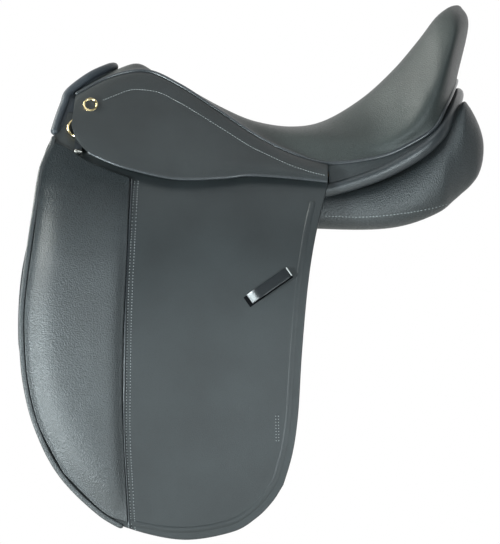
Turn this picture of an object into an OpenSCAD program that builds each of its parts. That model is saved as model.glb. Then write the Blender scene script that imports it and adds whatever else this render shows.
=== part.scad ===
// Dressage saddle, near side at -Y, cantle at +X. The origin is on the centre plane,
// level with the underside of the panels and below the lowest point of the seat.

/* [Overall] */
// Reach of the flap in front of the seat's lowest point
front_reach = 311; // [300:1:325]
// Reach of the panels behind the seat's lowest point
rear_reach = 232; // [222:1:245]
// Height of the cantle above the underside of the panels
cantle_height = 261; // [250:1:275]
// Drop of the flap below the underside of the panels
flap_drop = 364; // [340:1:400]

/* [Tree] */
// Half-width of the saddle at the crease of the flap
side_half_width = 138; // [132:1:146]
// Outward run of the tree sides for each mm of drop
tree_spread = 0.72; // [0.68:0.01:0.76]
// Thickness of the tree rails
rail_t = 7.8; // [6:0.1:8.4]
// Thickness of the wooden tree head
head_t = 10; // [8:0.1:11]
// Length of the tree head from front to back
head_len = 46; // [36:1:48]
// Thickness of the steel gullet plate
plate_t = 3; // [2:0.1:3.2]
// Thickness of the spring steels
spring_t = 3; // [2:0.1:3.5]
// Width of the spring steels
spring_w = 24; // [18:1:28]
// Thickness of the tree cantle
cantle_t = 9; // [6:0.1:11]

/* [Seat] */
// Thickness of the seat leather
cover_t = 2; // [1.5:0.1:2.4]
// Thickness of the foam under the deepest part of the seat
foam_t = 16; // [12:0.5:17]
// Thickness of the seat webbing
webbing_t = 2.5; // [1.5:0.1:3]
// Diameter of the piped welt round the seat
welt_d = 4.6; // [3.5:0.1:5]

/* [Leather] */
// Thickness of the flap
flap_t = 4.5; // [3.5:0.1:5]
// Thickness of the skirt
skirt_t = 3.2; // [2.4:0.1:4]
// Thickness of the sweat flap
sweat_t = 3; // [2:0.1:3.4]
// Height of the knee pad's crown above the flap
pad_crown = 13; // [8:0.5:15]
// Height of the knee pad at its edges
pad_edge = 3.5; // [2.5:0.1:5]
// Diameter of the binding along the front of the flap
binding_d = 6.4; // [5:0.1:7.5]
// Diameter of the pommel facing
facing_d = 10; // [8:0.1:11]
// Height of the rear facing roll
roll_h = 16; // [13:0.5:18]

/* [Panels] */
// Half-width of the channel between the panels
channel_half = 33; // [30:0.5:36]
// Thickness of the channel lining
lining_t = 2; // [1.5:0.1:3]

/* [Girth] */
// Width of a girth strap
strap_w = 25; // [22:0.5:30]
// Thickness of a girth strap
strap_t = 4; // [3:0.1:4.4]
// Drop of the girth straps below the underside of the panels
strap_drop = 215; // [180:1:240]
// Diameter of the holes in a girth strap
hole_d = 6; // [4:0.1:7]
// Spacing of the holes in a girth strap
hole_pitch = 25; // [20:0.5:28]
// Thickness of the girth web
web_t = 3.8; // [3:0.1:4]

/* [Stirrup bar] */
// Diameter of the stirrup bar
bar_d = 8; // [7:0.1:8.2]
// Length of the stirrup bar
bar_len = 72; // [68:1:76]
// Thickness of the bar's back plate
bar_plate_t = 3; // [2:0.1:3.2]
// Height of the bar's back plate
bar_plate_h = 20; // [18:0.5:20.5]
// Diameter of the catch pin
catch_pin_d = 3; // [2:0.1:3.4]
// Length of the catch behind its pin
catch_len = 11; // [9:0.5:12]
// Diameter of the rivets that hold the bar
rivet_d = 5; // [4:0.1:6]

/* [Fittings] */
// Outer diameter of the saddle stud
stud_d = 16.8; // [12:0.1:18]
// Height of the saddle stud
stud_h = 3; // [2:0.1:4]
// Radius of the dee ring at the middle of its wire
dee_r = 13; // [11:0.1:13.4]
// Diameter of the dee ring's wire
dee_wire = 3.5; // [3:0.1:3.7]
// Length of the keeper strap
keeper_len = 54; // [45:1:60]
// Width of the keeper strap
keeper_w = 15; // [12:0.5:18]
// Thickness of the keeper strap
keeper_t = 3; // [2:0.1:4]
// Room under the keeper strap
keeper_gap = 4.5; // [3:0.1:6]
// Diameter of the flap screws' heads
screw_head_d = 9; // [7:0.1:10]

/* [Hidden] */
// Clearance between leather pieces that lie on each other
lay = 0.4;
// Running clearance of pins in their bores
run = 0.06;
// Reach, height and drop that the outlines below are drawn for
drawn_front = 311;
drawn_rear = 232;
drawn_height = 261;
drawn_drop = 364;

// Places a drawn point at the set reach, height and drop
function px(x) = x * (x < 0 ? front_reach / drawn_front : rear_reach / drawn_rear);
function pz(z) = z * (z > 0 ? cantle_height / drawn_height : flap_drop / drawn_drop);
function at(p) = [px(p[0]), pz(p[1])];
function all_at(list) = [for (p = list) at(p)];

// Side of the saddle: a straight slope above the knee, easing to a nearly upright hang below it
knee_z = pz(50);
hang_slope = 0.06;
hang_ease = 90;
function side_slope(z) = z >= knee_z ? tree_spread
    : hang_slope + (tree_spread - hang_slope) * exp((z - knee_z) / hang_ease);
function side_y(z) = z >= knee_z ? side_half_width - tree_spread * (z - knee_z)
    : side_half_width + hang_slope * (knee_z - z)
      + (tree_spread - hang_slope) * hang_ease * (1 - exp((z - knee_z) / hang_ease));
// Sideways place of a layer that lies a distance out from the side of the saddle
function layer_y(z, out) = side_y(z) + out * sqrt(1 + pow(side_slope(z), 2));
function on_layer(p, out) = [p[0], layer_y(p[1], out), p[1]];
// The same distance taken square to the side, so that the edges of a piece are cut square
function square_to(p, out) = let (s = side_slope(p[1]), k = sqrt(1 + s * s))
    [p[0], side_y(p[1]) + out / k, p[1] + out * s / k];

// Layers from the side of the saddle outwards, and inwards where negative
flap_out = flap_t;
pad_in = flap_out + 1.5 * lay;
strap_out = -0.9;
strap_in = strap_out - strap_t;
rail_out = -6.2;
rail_in = rail_out - rail_t;
web_in = rail_out + 0.3;
sweat_out = -10;
sweat_in = sweat_out - sweat_t;
head_out = -4;
head_in = head_out - head_t;
plate_in = head_out + 0.3;
spring_out = rail_in - 0.4;
tip_out = -5;
tip_in = -8;

// Smooth curves through hand-placed points, sampled at equal steps of their length
function bend(a, b, c, d, f) = b + 0.5 * f * ((c - a) + f * ((2 * a - 5 * b + 4 * c - d)
    + f * (3 * b - a - 3 * c + d)));
function on_curve(p, i, f) = bend(i == 0 ? 2 * p[0] - p[1] : p[i - 1], p[i], p[i + 1],
    i + 2 < len(p) ? p[i + 2] : 2 * p[i + 1] - p[i], f);
function run_lengths(p) = [for (i = 0, s = 0; i < len(p);
    s = i + 1 < len(p) ? s + norm(p[i + 1] - p[i]) : s, i = i + 1) s];
function piece_at(sums, s) = min(len(sums) - 2, len([for (v = sums) if (v <= s) 1]) - 1);
function curve(p, n) = let (sums = run_lengths(p), total = sums[len(sums) - 1])
    [for (k = [0:n]) let (s = total * k / n, i = piece_at(sums, s))
        on_curve(p, i, (s - sums[i]) / (sums[i + 1] - sums[i]))];
function ease(t) = t <= 0 ? 0 : t >= 1 ? 1 : t * t * (3 - 2 * t);
function shifted(list, dx, dz) = [for (p = list) p + [dx, dz]];

// Patch between four edge curves that meet at their ends: top, bottom, front and rear
function patch(top, bottom, front, rear) = let (n = len(top) - 1, m = len(front) - 1)
    [for (i = [0:n]) [for (j = [0:m]) let (u = i / n, v = j / m)
        top[i] * (1 - v) + bottom[i] * v + front[j] * (1 - u) + rear[j] * u
        - (top[0] * (1 - u) * (1 - v) + top[n] * u * (1 - v) + bottom[0] * (1 - u) * v + bottom[n] * u * v)]];
// The same patch laid on the side of the saddle at a distance that varies over it
function lay_patch(grid, out) = let (n = len(grid) - 1, m = len(grid[0]) - 1)
    [for (i = [0:n]) [for (j = [0:m]) on_layer(grid[i][j], out(i / n, j / m))]];
function square_patch(grid, out) = [for (row = grid) [for (p = row) square_to(p, out)]];

// Solid of triangles, with its faces turned so that they look outwards
module solid(points, faces) {
    swept = [for (f = faces) points[f[0]] * cross(points[f[1]], points[f[2]])];
    turned = swept * [for (f = faces) 1] > 0;
    polyhedron(points, [for (f = faces) turned ? [f[2], f[1], f[0]] : f]);
}

// Closed solid between an outer and an inner grid of points
module slab(outer, inner) {
    n = len(outer);
    m = len(outer[0]);
    skin = n * m;
    points = [for (g = [outer, inner]) for (row = g) each row];
    faces = [
        for (i = [0:n - 2]) for (j = [0:m - 2]) let (a = i * m + j, b = a + m) each
            [[a, b, b + 1], [a, b + 1, a + 1],
             [a + skin, b + 1 + skin, b + skin], [a + skin, a + 1 + skin, b + 1 + skin]],
        for (i = [0:n - 2]) let (a = i * m, b = a + m, c = a + m - 1, d = c + m) each
            [[a, a + skin, b + skin], [a, b + skin, b], [c, d + skin, c + skin], [c, d, d + skin]],
        for (j = [0:m - 2]) let (a = j, b = j + 1, c = (n - 1) * m + j, d = c + 1) each
            [[a, b + skin, a + skin], [a, b, b + skin], [c, c + skin, d + skin], [c, d + skin, d]]];
    solid(points, faces);
}

// Closed solid through rings of points, each ring with as many points
module loft(rings) {
    n = len(rings);
    m = len(rings[0]);
    ends = [for (r = [rings[0], rings[n - 1]]) [for (k = [0:2]) ([for (p = r) 1] * [for (p = r) p[k]]) / m]];
    points = concat([for (r = rings) each r], ends);
    faces = [
        for (i = [0:n - 2]) for (j = [0:m - 1]) let (a = i * m + j, b = i * m + (j + 1) % m) each
            [[a, b, b + m], [a, b + m, a + m]],
        for (j = [0:m - 1]) let (k = (j + 1) % m) each
            [[n * m, k, j], [n * m + 1, (n - 1) * m + j, (n - 1) * m + k]]];
    solid(points, faces);
}

// Roll of oval section along a path: half-heights across and along the given side direction
module roll(path, side_dir, half_a, half_b, sides) {
    n = len(path) - 1;
    rings = [for (i = [0:n])
        let (t = path[min(i + 1, n)] - path[max(i - 1, 0)], a = cross(t, side_dir(i / n)), b = cross(a, t),
             ua = a / norm(a), ub = b / norm(b))
        [for (k = [0:sides - 1]) path[i] + ua * half_a(i / n) * cos(360 * k / sides)
            + ub * half_b(i / n) * sin(360 * k / sides)]];
    loft(rings);
}

// Flat-sided sheet that follows the side of the saddle inside an outline, between two layers
module sheet(outline, from, to) {
    zs = [for (p = outline) p[1]];
    low = min(zs) - 2;
    high = max(zs) + 2;
    steps = 12;
    levels = low < knee_z ? concat([for (k = [0:steps]) low + (min(knee_z, high) - low) * k / steps],
        high > knee_z ? [high] : []) : [low, high];
    last = len(levels) - 1;
    band = concat([for (z = levels) [layer_y(z, to), z]],
        [for (k = [0:last]) [layer_y(levels[last - k], from), levels[last - k]]]);
    reach = 3 * front_reach;
    intersection() {
        translate([-reach / 2, 0, 0]) rotate([90, 0, 90]) linear_extrude(reach) polygon(band);
        translate([0, reach, 0]) rotate([90, 0, 0]) linear_extrude(reach) polygon(outline);
    }
}

// Stands a fitting on the side of the saddle: local X to the rear, local Y up the side, local Z outwards
module on_slope(x, z) {
    translate([x, side_y(z), z]) mirror([0, 1, 0]) rotate([90 - atan(side_slope(z)), 0, 0]) children();
}

// The near side is the mirror image of the far side
module near() {
    mirror([0, 1, 0]) children();
}

// Edge curves of the leather on the side of the saddle, as [X, Z], from the front to the rear or downwards
crease = all_at([[-291, 52], [49, 45]]);
flap_edge = all_at([[-291, 52], [-299, 0], [-309, -75], [-311, -120], [-307, -178], [-293, -234],
    [-264, -290], [-216, -337], [-178, -356], [-118, -364], [-62, -355], [-34, -339], [-15, -320],
    [-2, -300]]);
// Place in the flap's edge where its front turns into its bottom
flap_corner = 6;
flap_rear = all_at([[36, -9], [27, -66], [20, -143], [13, -243], [7, -271], [-2, -300]]);
seam_points = all_at([[-182.5, 46], [-185, -26], [-190, -140], [-190, -220], [-184, -343]]);
pad_top = all_at([[-269, 101], [-252, 92], [-240, 83.5], [-212, 70], [-182, 58.5]]);
pad_head_front = all_at([[-278, 83], [-286, 54.5]]);
pad_head_rear = at([-182.5, 52.5]);
skirt_bottom = all_at([[-246, 106], [-231, 89], [-212, 80], [-184, 70], [-128, 58], [-72, 59], [-41, 62],
    [6, 59], [50, 54.5]]);
skirt_front = all_at([[-250, 121], [-246, 106]]);
sweat_front = all_at([[-236, 59.5], [-285, 20], [-306, -40], [-312, -116], [-305, -165], [-270, -255],
    [-250, -280]]);
sweat_bottom = all_at([[-250, -280], [-215, -310], [-118, -334], [-45, -310], [-25, -290]]);
sweat_rear = all_at([[30, 59.5], [12, -66], [0, -201], [-25, -290]]);
head_top = all_at([[-254.5, 134], [-235, 130], [-210, 114], [-185, 92], [-150, 85.5], [-60, 85.5], [0, 74],
    [50, 57]]);
head_front = all_at([[-254.5, 134], [-262.5, 114], [-272, 105], [-282, 84]]);
// Lower edge of the tree sides
tree_low = pz(60);
// Draws an edge in by a distance in front of the knee pad's seam; behind it the draw fades out
fade_rear = px(-150);
fade_front = px(-184);
function held(p) = ease((fade_rear - p[0]) / (fade_rear - fade_front));
function inward(list, i) = let (t = list[min(i + 1, len(list) - 1)] - list[max(i - 1, 0)])
    [-t[1], t[0]] / norm(t);
function inset(list, d) = [for (i = [0:len(list) - 1]) list[i] + d * held(list[i]) * inward(list, i)];
function some(list, from, to) = [for (k = [from:to]) list[k]];

// Hinge line of the skirt
skirt_hinge = all_at([[-249, 128], [50, 68]]);
// Distance of the skirt's inner face out from the side: at the welt, and along its hinge line
welt_out = 2;
skirt_hinge_front = 15;
skirt_hinge_rear = 9;
skirt_bulge = 1.5;
function skirt_hinge_out(u) = skirt_hinge_front + (skirt_hinge_rear - skirt_hinge_front) * u;
// Half the gap where a leather piece is parted at its bend
bend_gap = 0.3;
function straight(a, b, n) = [for (k = [0:n]) a + (b - a) * k / n];

module flap() {
    cols = 16;
    rows = 18;
    edge = inset(flap_edge, binding_d + 2 * lay);
    last = len(edge) - 1;
    top = straight(edge[0] - [0, bend_gap], crease[1] - [0, bend_gap], cols);
    grid = patch(top, curve(some(edge, flap_corner, last), cols),
        curve(concat([top[0]], some(edge, 1, flap_corner)), rows),
        curve(concat([top[cols]], flap_rear), rows));
    color([0.22, 0.25, 0.27]) slab(square_patch(grid, flap_out), square_patch(grid, 0));
}

module flap_head() {
    cols = 16;
    rows = 6;
    foot = straight(crease[0] + [0, bend_gap], crease[1] + [0, bend_gap], cols);
    grid = patch(curve(head_top, cols), foot, curve(concat(head_front, [foot[0]]), rows),
        straight(head_top[len(head_top) - 1], foot[cols], rows));
    color([0.2, 0.23, 0.25]) difference() {
        slab(square_patch(grid, flap_out), square_patch(grid, 0));
        for (p = screw_places) on_slope(p[0], p[1]) translate([0, 0, -1])
            cylinder(d = screw_d + 4 * run, h = flap_t + 2, $fn = 24);
    }
}

// Swell of the padding over its edges, full along the middle
function puff(u, v) = pow(sin(180 * u), 0.6) * pow(sin(180 * v), 0.4);
pad_bend_gap = 2;

module knee_pad() {
    cols = 8;
    rows = 18;
    edge = inset(flap_edge, binding_d + 4 * lay);
    first = edge[0] - [0, pad_bend_gap];
    foot = seam_points[len(seam_points) - 1];
    grid = patch(straight(first, seam_points[0], cols),
        curve(concat(some(edge, flap_corner, flap_corner + 1), [foot]), cols),
        curve(concat([first], some(edge, 1, flap_corner)), rows), curve(seam_points, rows));
    rise = function (u, v) pad_in + pad_edge + (pad_crown - pad_edge) * puff(u, v);
    color([0.24, 0.28, 0.3]) slab(lay_patch(grid, rise), lay_patch(grid, function (u, v) pad_in));
}

// Upper part of the knee pad, above the bend of the flap
module knee_pad_head() {
    cols = 8;
    rows = 5;
    swell = 0.5;
    last = len(pad_top) - 1;
    grid = patch(curve(pad_top, cols), straight(pad_head_front[1], pad_head_rear, cols),
        curve(concat([pad_top[0]], pad_head_front), rows), straight(pad_top[last], pad_head_rear, rows));
    rise = function (u, v) pad_in + pad_edge + swell * (pad_crown - pad_edge) * puff(u, v);
    color([0.24, 0.28, 0.3]) slab(lay_patch(grid, rise), lay_patch(grid, function (u, v) pad_in));
}

module knee_binding() {
    turn = flap_corner + 1;
    line = inset(concat([flap_edge[0] - [0, pad_bend_gap]], some(flap_edge, 1, turn), [at([-190, -351])]),
        binding_d / 2);
    middle = (flap_out + pad_edge) / 2;
    path = [for (p = curve(line, 24)) on_layer(p, middle)];
    color([0.16, 0.19, 0.21])
        roll(path, function (t) [0, 1, 0], function (t) binding_d / 2, function (t) middle, 8);
}

module sweat_flap() {
    cols = 10;
    rows = 12;
    top = curve([sweat_front[0], sweat_rear[0]], cols);
    grid = patch(top, curve(sweat_bottom, cols), curve(sweat_front, rows), curve(sweat_rear, rows));
    color([0.14, 0.16, 0.17])
        slab(lay_patch(grid, function (u, v) sweat_out), lay_patch(grid, function (u, v) sweat_in));
}

module skirt() {
    cols = 18;
    rows = 5;
    top = straight(skirt_hinge[0] - [0, bend_gap], skirt_hinge[1] - [0, bend_gap], cols);
    grid = patch(top, curve(skirt_bottom, cols), curve(concat([top[0]], skirt_front), rows),
        straight(top[cols], skirt_bottom[8], rows));
    inner = function (u, v) skirt_hinge_out(u) + skirt_bulge * sin(180 * v);
    color([0.25, 0.28, 0.29])
        slab(lay_patch(grid, function (u, v) inner(u, v) + skirt_t), lay_patch(grid, inner));
}

// Ruled surface of the skirt's fixed head, from the welt down to the hinge line
head_cols = 18;
head_rise = 0.5;
function skirt_head_edges() = [curve(shifted(welt_flat, 0, -welt_room), head_cols),
    straight(skirt_hinge[0] + [0, bend_gap], skirt_hinge[1] + [0, bend_gap], head_cols)];
function skirt_head_in(u, v) = welt_out + (skirt_hinge_out(u) - welt_out) * pow(v, head_rise);

module skirt_head() {
    rows = 5;
    edges = skirt_head_edges();
    grid = [for (i = [0:head_cols]) straight(edges[0][i], edges[1][i], rows)];
    color([0.24, 0.27, 0.28]) slab(lay_patch(grid, function (u, v) skirt_head_in(u, v) + skirt_t),
        lay_patch(grid, function (u, v) skirt_head_in(u, v)));
}

// Seat: stations from the pommel to the back of the cantle. Each has the centre line, the crest of the
// dished top, the rim, the welt and the inner axis that the layers draw in towards.
drawn_half = 138;
function wide(x, y, z) = [px(x), y * side_half_width / drawn_half, pz(z)];
function mid(x, z) = wide(x, 0, z);
// Room above and below the middle of the welt for the seat leather and the skirt
welt_room = welt_d * 0.92;
welt_mid = welt_out + skirt_t / 2;
function welt_at(x, z) = on_layer(at([x, z]), welt_mid);
seat_stations = [
    [mid(-197, 187), wide(-203, 22, 185), wide(-222, 44, 175), welt_at(-246, 157), mid(-214, 128)],
    [mid(-172, 193), wide(-174, 17, 193.5), wide(-184, 33, 188), welt_at(-205, 178), mid(-190, 130)],
    [mid(-146, 179), wide(-150, 16, 181), wide(-156, 30, 184), welt_at(-163, 184.7), mid(-150, 125)],
    [mid(-112, 158), wide(-114, 20, 160), wide(-118, 38, 166), welt_at(-124, 168), mid(-110, 105)],
    [mid(-74, 138), wide(-75, 28, 140), wide(-78, 54, 144), welt_at(-80, 139.5), mid(-75, 88)],
    [mid(-34, 123), wide(-34, 38, 125.5), wide(-34, 72, 123), welt_at(-34, 109), mid(-34, 70)],
    [mid(8, 116), wide(8, 44, 119.5), wide(8, 86, 112), welt_at(8, 88), mid(8, 55)],
    [mid(46, 121), wide(46, 50, 126), wide(48, 98, 110), welt_at(50, 76), mid(46, 50)],
    [mid(90, 143), wide(91, 54, 151), wide(104, 114, 108), wide(112, 125, 83.5), mid(90, 66)],
    [mid(126, 171), wide(128, 55, 184), wide(140, 119, 122), wide(150, 122, 100), mid(126, 92)],
    [mid(155, 206), wide(157, 50, 218), wide(166, 114, 154), wide(175, 117, 117), mid(152, 120)],
    [mid(175, 233), wide(177, 46, 245), wide(188, 100, 194), wide(187, 100, 139), mid(172, 150)],
    [mid(189, 250), wide(192, 36, 257), wide(203, 75, 228), wide(196, 66, 158), mid(184, 178)],
    [mid(198, 258.5), wide(202, 18, 260.5), wide(211, 36, 243), wide(201, 28, 170), mid(189, 192)],
    [mid(201, 261), wide(204, 0.3, 260.5), wide(213, 0.3, 238), wide(202, 0.3, 174), mid(190, 195)]];
seat_last = len(seat_stations) - 1;
function seat_rail(k, t) = let (i = min(floor(t), seat_last - 1))
    on_curve([for (s = seat_stations) s[k]], i, t - i);
welt_flat = [for (k = [0:7]) [seat_stations[k][3][0], seat_stations[k][3][2]]];
// Point of the seat's outer face: v runs from the centre line to just above the welt
function seat_point(t, v) = let (c = seat_rail(0, t), q = seat_rail(1, t), r = seat_rail(2, t),
    w = seat_rail(3, t) + [0, 0, welt_room], line = [[q[0], -q[1], q[2]], c, q, r, w, 2 * w - r],
    i = min(floor(3 * v), 2)) bend(line[i], line[i + 1], line[i + 2], line[i + 3], 3 * v - i);
// A layer of the seat at a depth under its outer face, from one station to another
seat_step = 0.5;
function seat_layer(from, to, v_max, steps, depth) = [for (t = [from:seat_step:to])
    [for (j = [-steps:steps]) let (p = seat_point(t, v_max * abs(j) / steps), m = seat_rail(4, t) - p,
        q = p + m * depth(t) / norm(m)) [q[0], j < 0 ? -q[1] : q[1], q[2]]]];
// Gap between the layers of the seat
seat_lay = 0.6;
foam_in = cover_t + seat_lay;
function foam_depth(t) = foam_in + foam_t * (0.3 + 0.7 * ease((t - 0.5) / 4) - 0.6 * ease((t - 7) / 3));

// Grid lines from the centre to the edge of each layer, on shared lines so that the layers nest
cover_steps = 8;
foam_steps = 7;
cantle_steps = 6;
webbing_steps = 3;
function layer_of(from, to, steps, depth) = seat_layer(from, to, steps / cover_steps, steps, depth);

module seat_cover() {
    color([0.27, 0.3, 0.31]) slab(layer_of(0, seat_last, cover_steps, function (t) 0),
        layer_of(0, seat_last, cover_steps, function (t) cover_t));
}

module seat_foam() {
    color([0.75, 0.7, 0.5]) slab(layer_of(0, seat_last, foam_steps, function (t) foam_in),
        layer_of(0, seat_last, foam_steps, function (t) foam_depth(t)));
}

// The webbing ends where the tree cantle begins
webbing_front = 2;
cantle_front = 9;
function under_foam(t) = foam_depth(t) + seat_lay;

module seat_webbing() {
    rear = cantle_front - seat_step;
    color([0.7, 0.65, 0.55]) slab(layer_of(webbing_front, rear, webbing_steps, function (t) under_foam(t)),
        layer_of(webbing_front, rear, webbing_steps, function (t) under_foam(t) + webbing_t));
}

module tree_cantle() {
    color([0.6, 0.45, 0.28]) slab(layer_of(cantle_front, seat_last, cantle_steps, function (t) under_foam(t)),
        layer_of(cantle_front, seat_last, cantle_steps, function (t) under_foam(t) + cantle_t));
}

// Both halves of a path that runs round the saddle, from the near side to the far side
function both_sides(path) = concat([for (p = path) [p[0], -p[1], p[2]]],
    [for (k = [1:len(path) - 1]) path[len(path) - 1 - k]]);

module seat_welt() {
    half = [for (k = [0:seat_last - 1]) seat_stations[k][3]];
    tip = seat_stations[seat_last][3];
    path = curve(both_sides(concat(half, [[tip[0], 0, tip[2]]])), 56);
    color([0.2, 0.23, 0.24])
        roll(path, function (t) [0, 0, 1], function (t) welt_d / 2, function (t) welt_d / 2, 6);
}

module pommel_facing() {
    out = 3;
    lift = facing_d / 2 - 4;
    half = [on_layer(at([-268.5, 118]), out), on_layer(at([-265, 129]), out), on_layer(at([-259, 146]), out),
        wide(-253, 62, 160), wide(-229, 45, 177 + lift), wide(-210, 22, 186 + lift), mid(-204, 188)];
    color([0.15, 0.17, 0.19])
        roll(curve(both_sides(half), 36), function (t) [1, 0, 0], function (t) facing_d / 2,
            function (t) facing_d / 2, 8);
}

roll_points = [wide(52, 128, 44.5), wide(84, 129, 53.5), wide(120, 129.5, 67), wide(156, 127, 87),
    wide(179, 117, 107), wide(193, 92, 128), wide(201, 50, 147), mid(204, 157)];
roll_half_t = 6.5;
module rear_roll() {
    color([0.19, 0.21, 0.23])
        roll(curve(both_sides(roll_points), 44), function (t) [cos(180 * t - 90), sin(180 * t - 90), 0],
            function (t) roll_h / 2, function (t) roll_half_t, 10);
}

// Thin tail of the skirt between the welt and the rear roll
module skirt_tail() {
    n = 8;
    top = [for (k = [0:n]) seat_rail(3, 7.1 + 1.2 * k / n) - [0, 0, welt_room]];
    foot = [for (k = [0:n]) let (f = 0.05 + 1.95 * k / n, i = min(floor(f), 1))
        on_curve(roll_points, i, f - i) + [0, -2, roll_h / 2 + lay + 0.6]];
    rows = [for (k = [0:n]) [top[k], (top[k] + foot[k]) / 2, foot[k]]];
    color([0.22, 0.25, 0.26])
        slab([for (r = rows) [for (p = r) p + [0, skirt_t / 2, 0]]],
            [for (r = rows) [for (p = r) p - [0, skirt_t / 2, 0]]]);
}

// Panels: stations with X, inner edge past the channel, outer edge, middle height, half-thickness, side fall
drawn_panel = [[-242, 34, 84, 84, 6, 1.2], [-236, 24, 95, 82, 18, 1.2], [-215, 15, 101, 80, 23, 1.2],
    [-150, 4, 108, 72, 25, 1.05], [-70, 0, 121, 54, 28, 0.7], [10, 0, 130, 38, 28, 0.42],
    [90, 0, 133, 31, 28.5, 0.24], [140, 0, 131, 42, 36, 0.2], [180, 0, 124, 65, 45, 0.15],
    [197, 0, 114, 75, 48.5, 0.1], [206, 2, 108, 86, 49.5, 0.05], [216, 6, 100, 94, 44, 0],
    [224, 12, 90, 97, 32, 0], [232, 24, 76, 95, 6, 0]];
function panel_at(t) = let (i = min(floor(t), len(drawn_panel) - 2), s = on_curve(drawn_panel, i, t - i),
    y0 = channel_half + s[1], y1 = s[2] * side_half_width / drawn_half)
    [px(s[0]), (y0 + y1) / 2, (y1 - y0) / 2, pz(s[3]), s[4] * cantle_height / drawn_height, s[5]];
panel_round = 0.8;
function swell(c) = sign(c) * pow(abs(c), panel_round);
function panel_ring(s, sides) = [for (k = [0:sides - 1]) let (a = 360 * k / sides, y = s[2] * swell(cos(a)))
    [s[0], s[1] + y, s[3] + s[4] * swell(sin(a)) - s[5] * y]];

module panel() {
    steps = 3;
    color([0.2, 0.24, 0.26])
        loft([for (k = [0:steps * (len(drawn_panel) - 1)]) panel_ring(panel_at(k / steps), 16)]);
}

// Lining across the channel, carried by the inner edges of the two panels
module channel_lining() {
    arch = 4;
    rows = [for (t = [3:0.5:9]) let (s = panel_at(t), y = s[1] - s[2] - lay, z = s[3] + s[5] * s[2])
        [for (j = [-2:2]) [s[0], y * j / 2, z + arch * (1 - j * j / 4)]]];
    color([0.12, 0.13, 0.14])
        slab([for (r = rows) [for (p = r) p + [0, 0, lining_t / 2]]],
            [for (r = rows) [for (p = r) p - [0, 0, lining_t / 2]]]);
}

// Tree head: an arch whose sides lie under the flap heads, with a point on each side
head_rear = px(-150);
head_crown = pz(164);
arch_shoulder = pz(140);
crown_t = 12;
function arch_side(out, crown) = let (y = layer_y(arch_shoulder, out))
    [[layer_y(tree_low, out), tree_low], [y, arch_shoulder],
     [0.62 * y, crown - 0.2 * (crown - arch_shoulder)],
     [0.3 * y, crown - 0.04 * (crown - arch_shoulder)], [0, crown]];
function arch(out, inn, crown_out, crown_in) = let (
    a = arch_side(out, crown_out), b = arch_side(inn, crown_in),
    outer = concat(a, [for (k = [1:4]) [-a[4 - k][0], a[4 - k][1]]]),
    inner = concat(b, [for (k = [1:4]) [-b[4 - k][0], b[4 - k][1]]]))
    concat(outer, [for (k = [0:8]) inner[8 - k]]);
module arch_block(x0, len, points) {
    translate([x0, 0, 0]) rotate([90, 0, 90]) linear_extrude(len) polygon(points);
}
point_w = head_len * 0.65;
point_low = pz(24);
function box_outline(x0, x1, z0, z1) = [[x0, z0], [x1, z0], [x1, z1], [x0, z1]];
point_x = head_rear - head_len / 2;

module tree_head() {
    color([0.62, 0.46, 0.28]) {
        arch_block(head_rear - head_len, head_len, arch(head_out, head_in, head_crown, head_crown - crown_t));
        for (m = [0, 1]) mirror([0, m, 0])
            sheet(box_outline(point_x - point_w / 2, point_x + point_w / 2, point_low, tree_low + 4),
                tip_in, tip_out);
    }
}

module gullet_plate() {
    margin = 4;
    gap = 0.3;
    color([0.55, 0.56, 0.58])
        arch_block(head_rear - head_len + margin, head_len - 2 * margin,
            arch(plate_in + plate_t, plate_in, head_crown + gap + plate_t, head_crown + gap));
}

module point_pocket() {
    wall = 3;
    room = 0.4;
    low = point_low - wall - room;
    half = point_w / 2 + room;
    color([0.16, 0.18, 0.19]) difference() {
        sheet(box_outline(point_x - half - wall, point_x + half + wall, low, tree_low - 3), sweat_out + 0.3,
            tip_out + room + 2);
        sheet(box_outline(point_x - half, point_x + half, point_low - room, tree_low),
            tip_in - room, tip_out + room);
    }
}

// Stirrup bar: back plate on the tree rail, post at its front and a round bar that is open at the rear
bar_front = px(-145);
bar_z = pz(93.5);
bar_stand = 5;
bar_seat = rail_out + 0.3;
lap_len = 16;
pin_x = bar_len - lap_len / 2;
rivet_places = [for (x = [24, 46]) for (y = [-6.5, 6.5]) [x, y]];
module on_bar() {
    on_slope(bar_front, bar_z) children();
}

module stirrup_bar() {
    post = [12, 10];
    color([0.7, 0.71, 0.73]) on_bar() difference() {
        union() {
            translate([0, -bar_plate_h / 2, bar_seat]) cube([bar_len - lap_len, bar_plate_h, bar_plate_t]);
            translate([0, -post[1] / 2, bar_seat + bar_plate_t / 2])
                cube([post[0], post[1], bar_stand - bar_seat]);
            translate([0, 0, bar_stand]) rotate([0, 90, 0]) cylinder(d = bar_d, h = bar_len, $fn = 32);
        }
        translate([bar_len - lap_len, -bar_d, bar_stand]) cube([2 * lap_len, 2 * bar_d, bar_d]);
        translate([pin_x, 0, 0]) cylinder(d = catch_pin_d + 2 * run, h = 2 * bar_stand, $fn = 24);
        for (p = rivet_places) translate([p[0], p[1], bar_seat - 1])
            cylinder(d = rivet_d + 2 * run, h = bar_plate_t + 2, $fn = 24);
    }
}

// Half-round catch that carries the line of the bar on behind its pin
module bar_catch() {
    gap = 0.15;
    below = 0.6;
    color([0.75, 0.76, 0.78]) on_bar() difference() {
        intersection() {
            translate([0, 0, bar_stand - below]) rotate([0, 90, 0])
                cylinder(d = bar_d - 2 * gap, h = 2 * bar_len, $fn = 32);
            translate([pin_x, 0, bar_stand + gap]) linear_extrude(bar_d) hull() for (x = [0, catch_len])
                translate([x, 0]) circle(d = bar_d, $fn = 32);
        }
        translate([pin_x, 0, 0]) cylinder(d = catch_pin_d + 2 * run, h = 2 * bar_stand, $fn = 24);
    }
}

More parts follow.
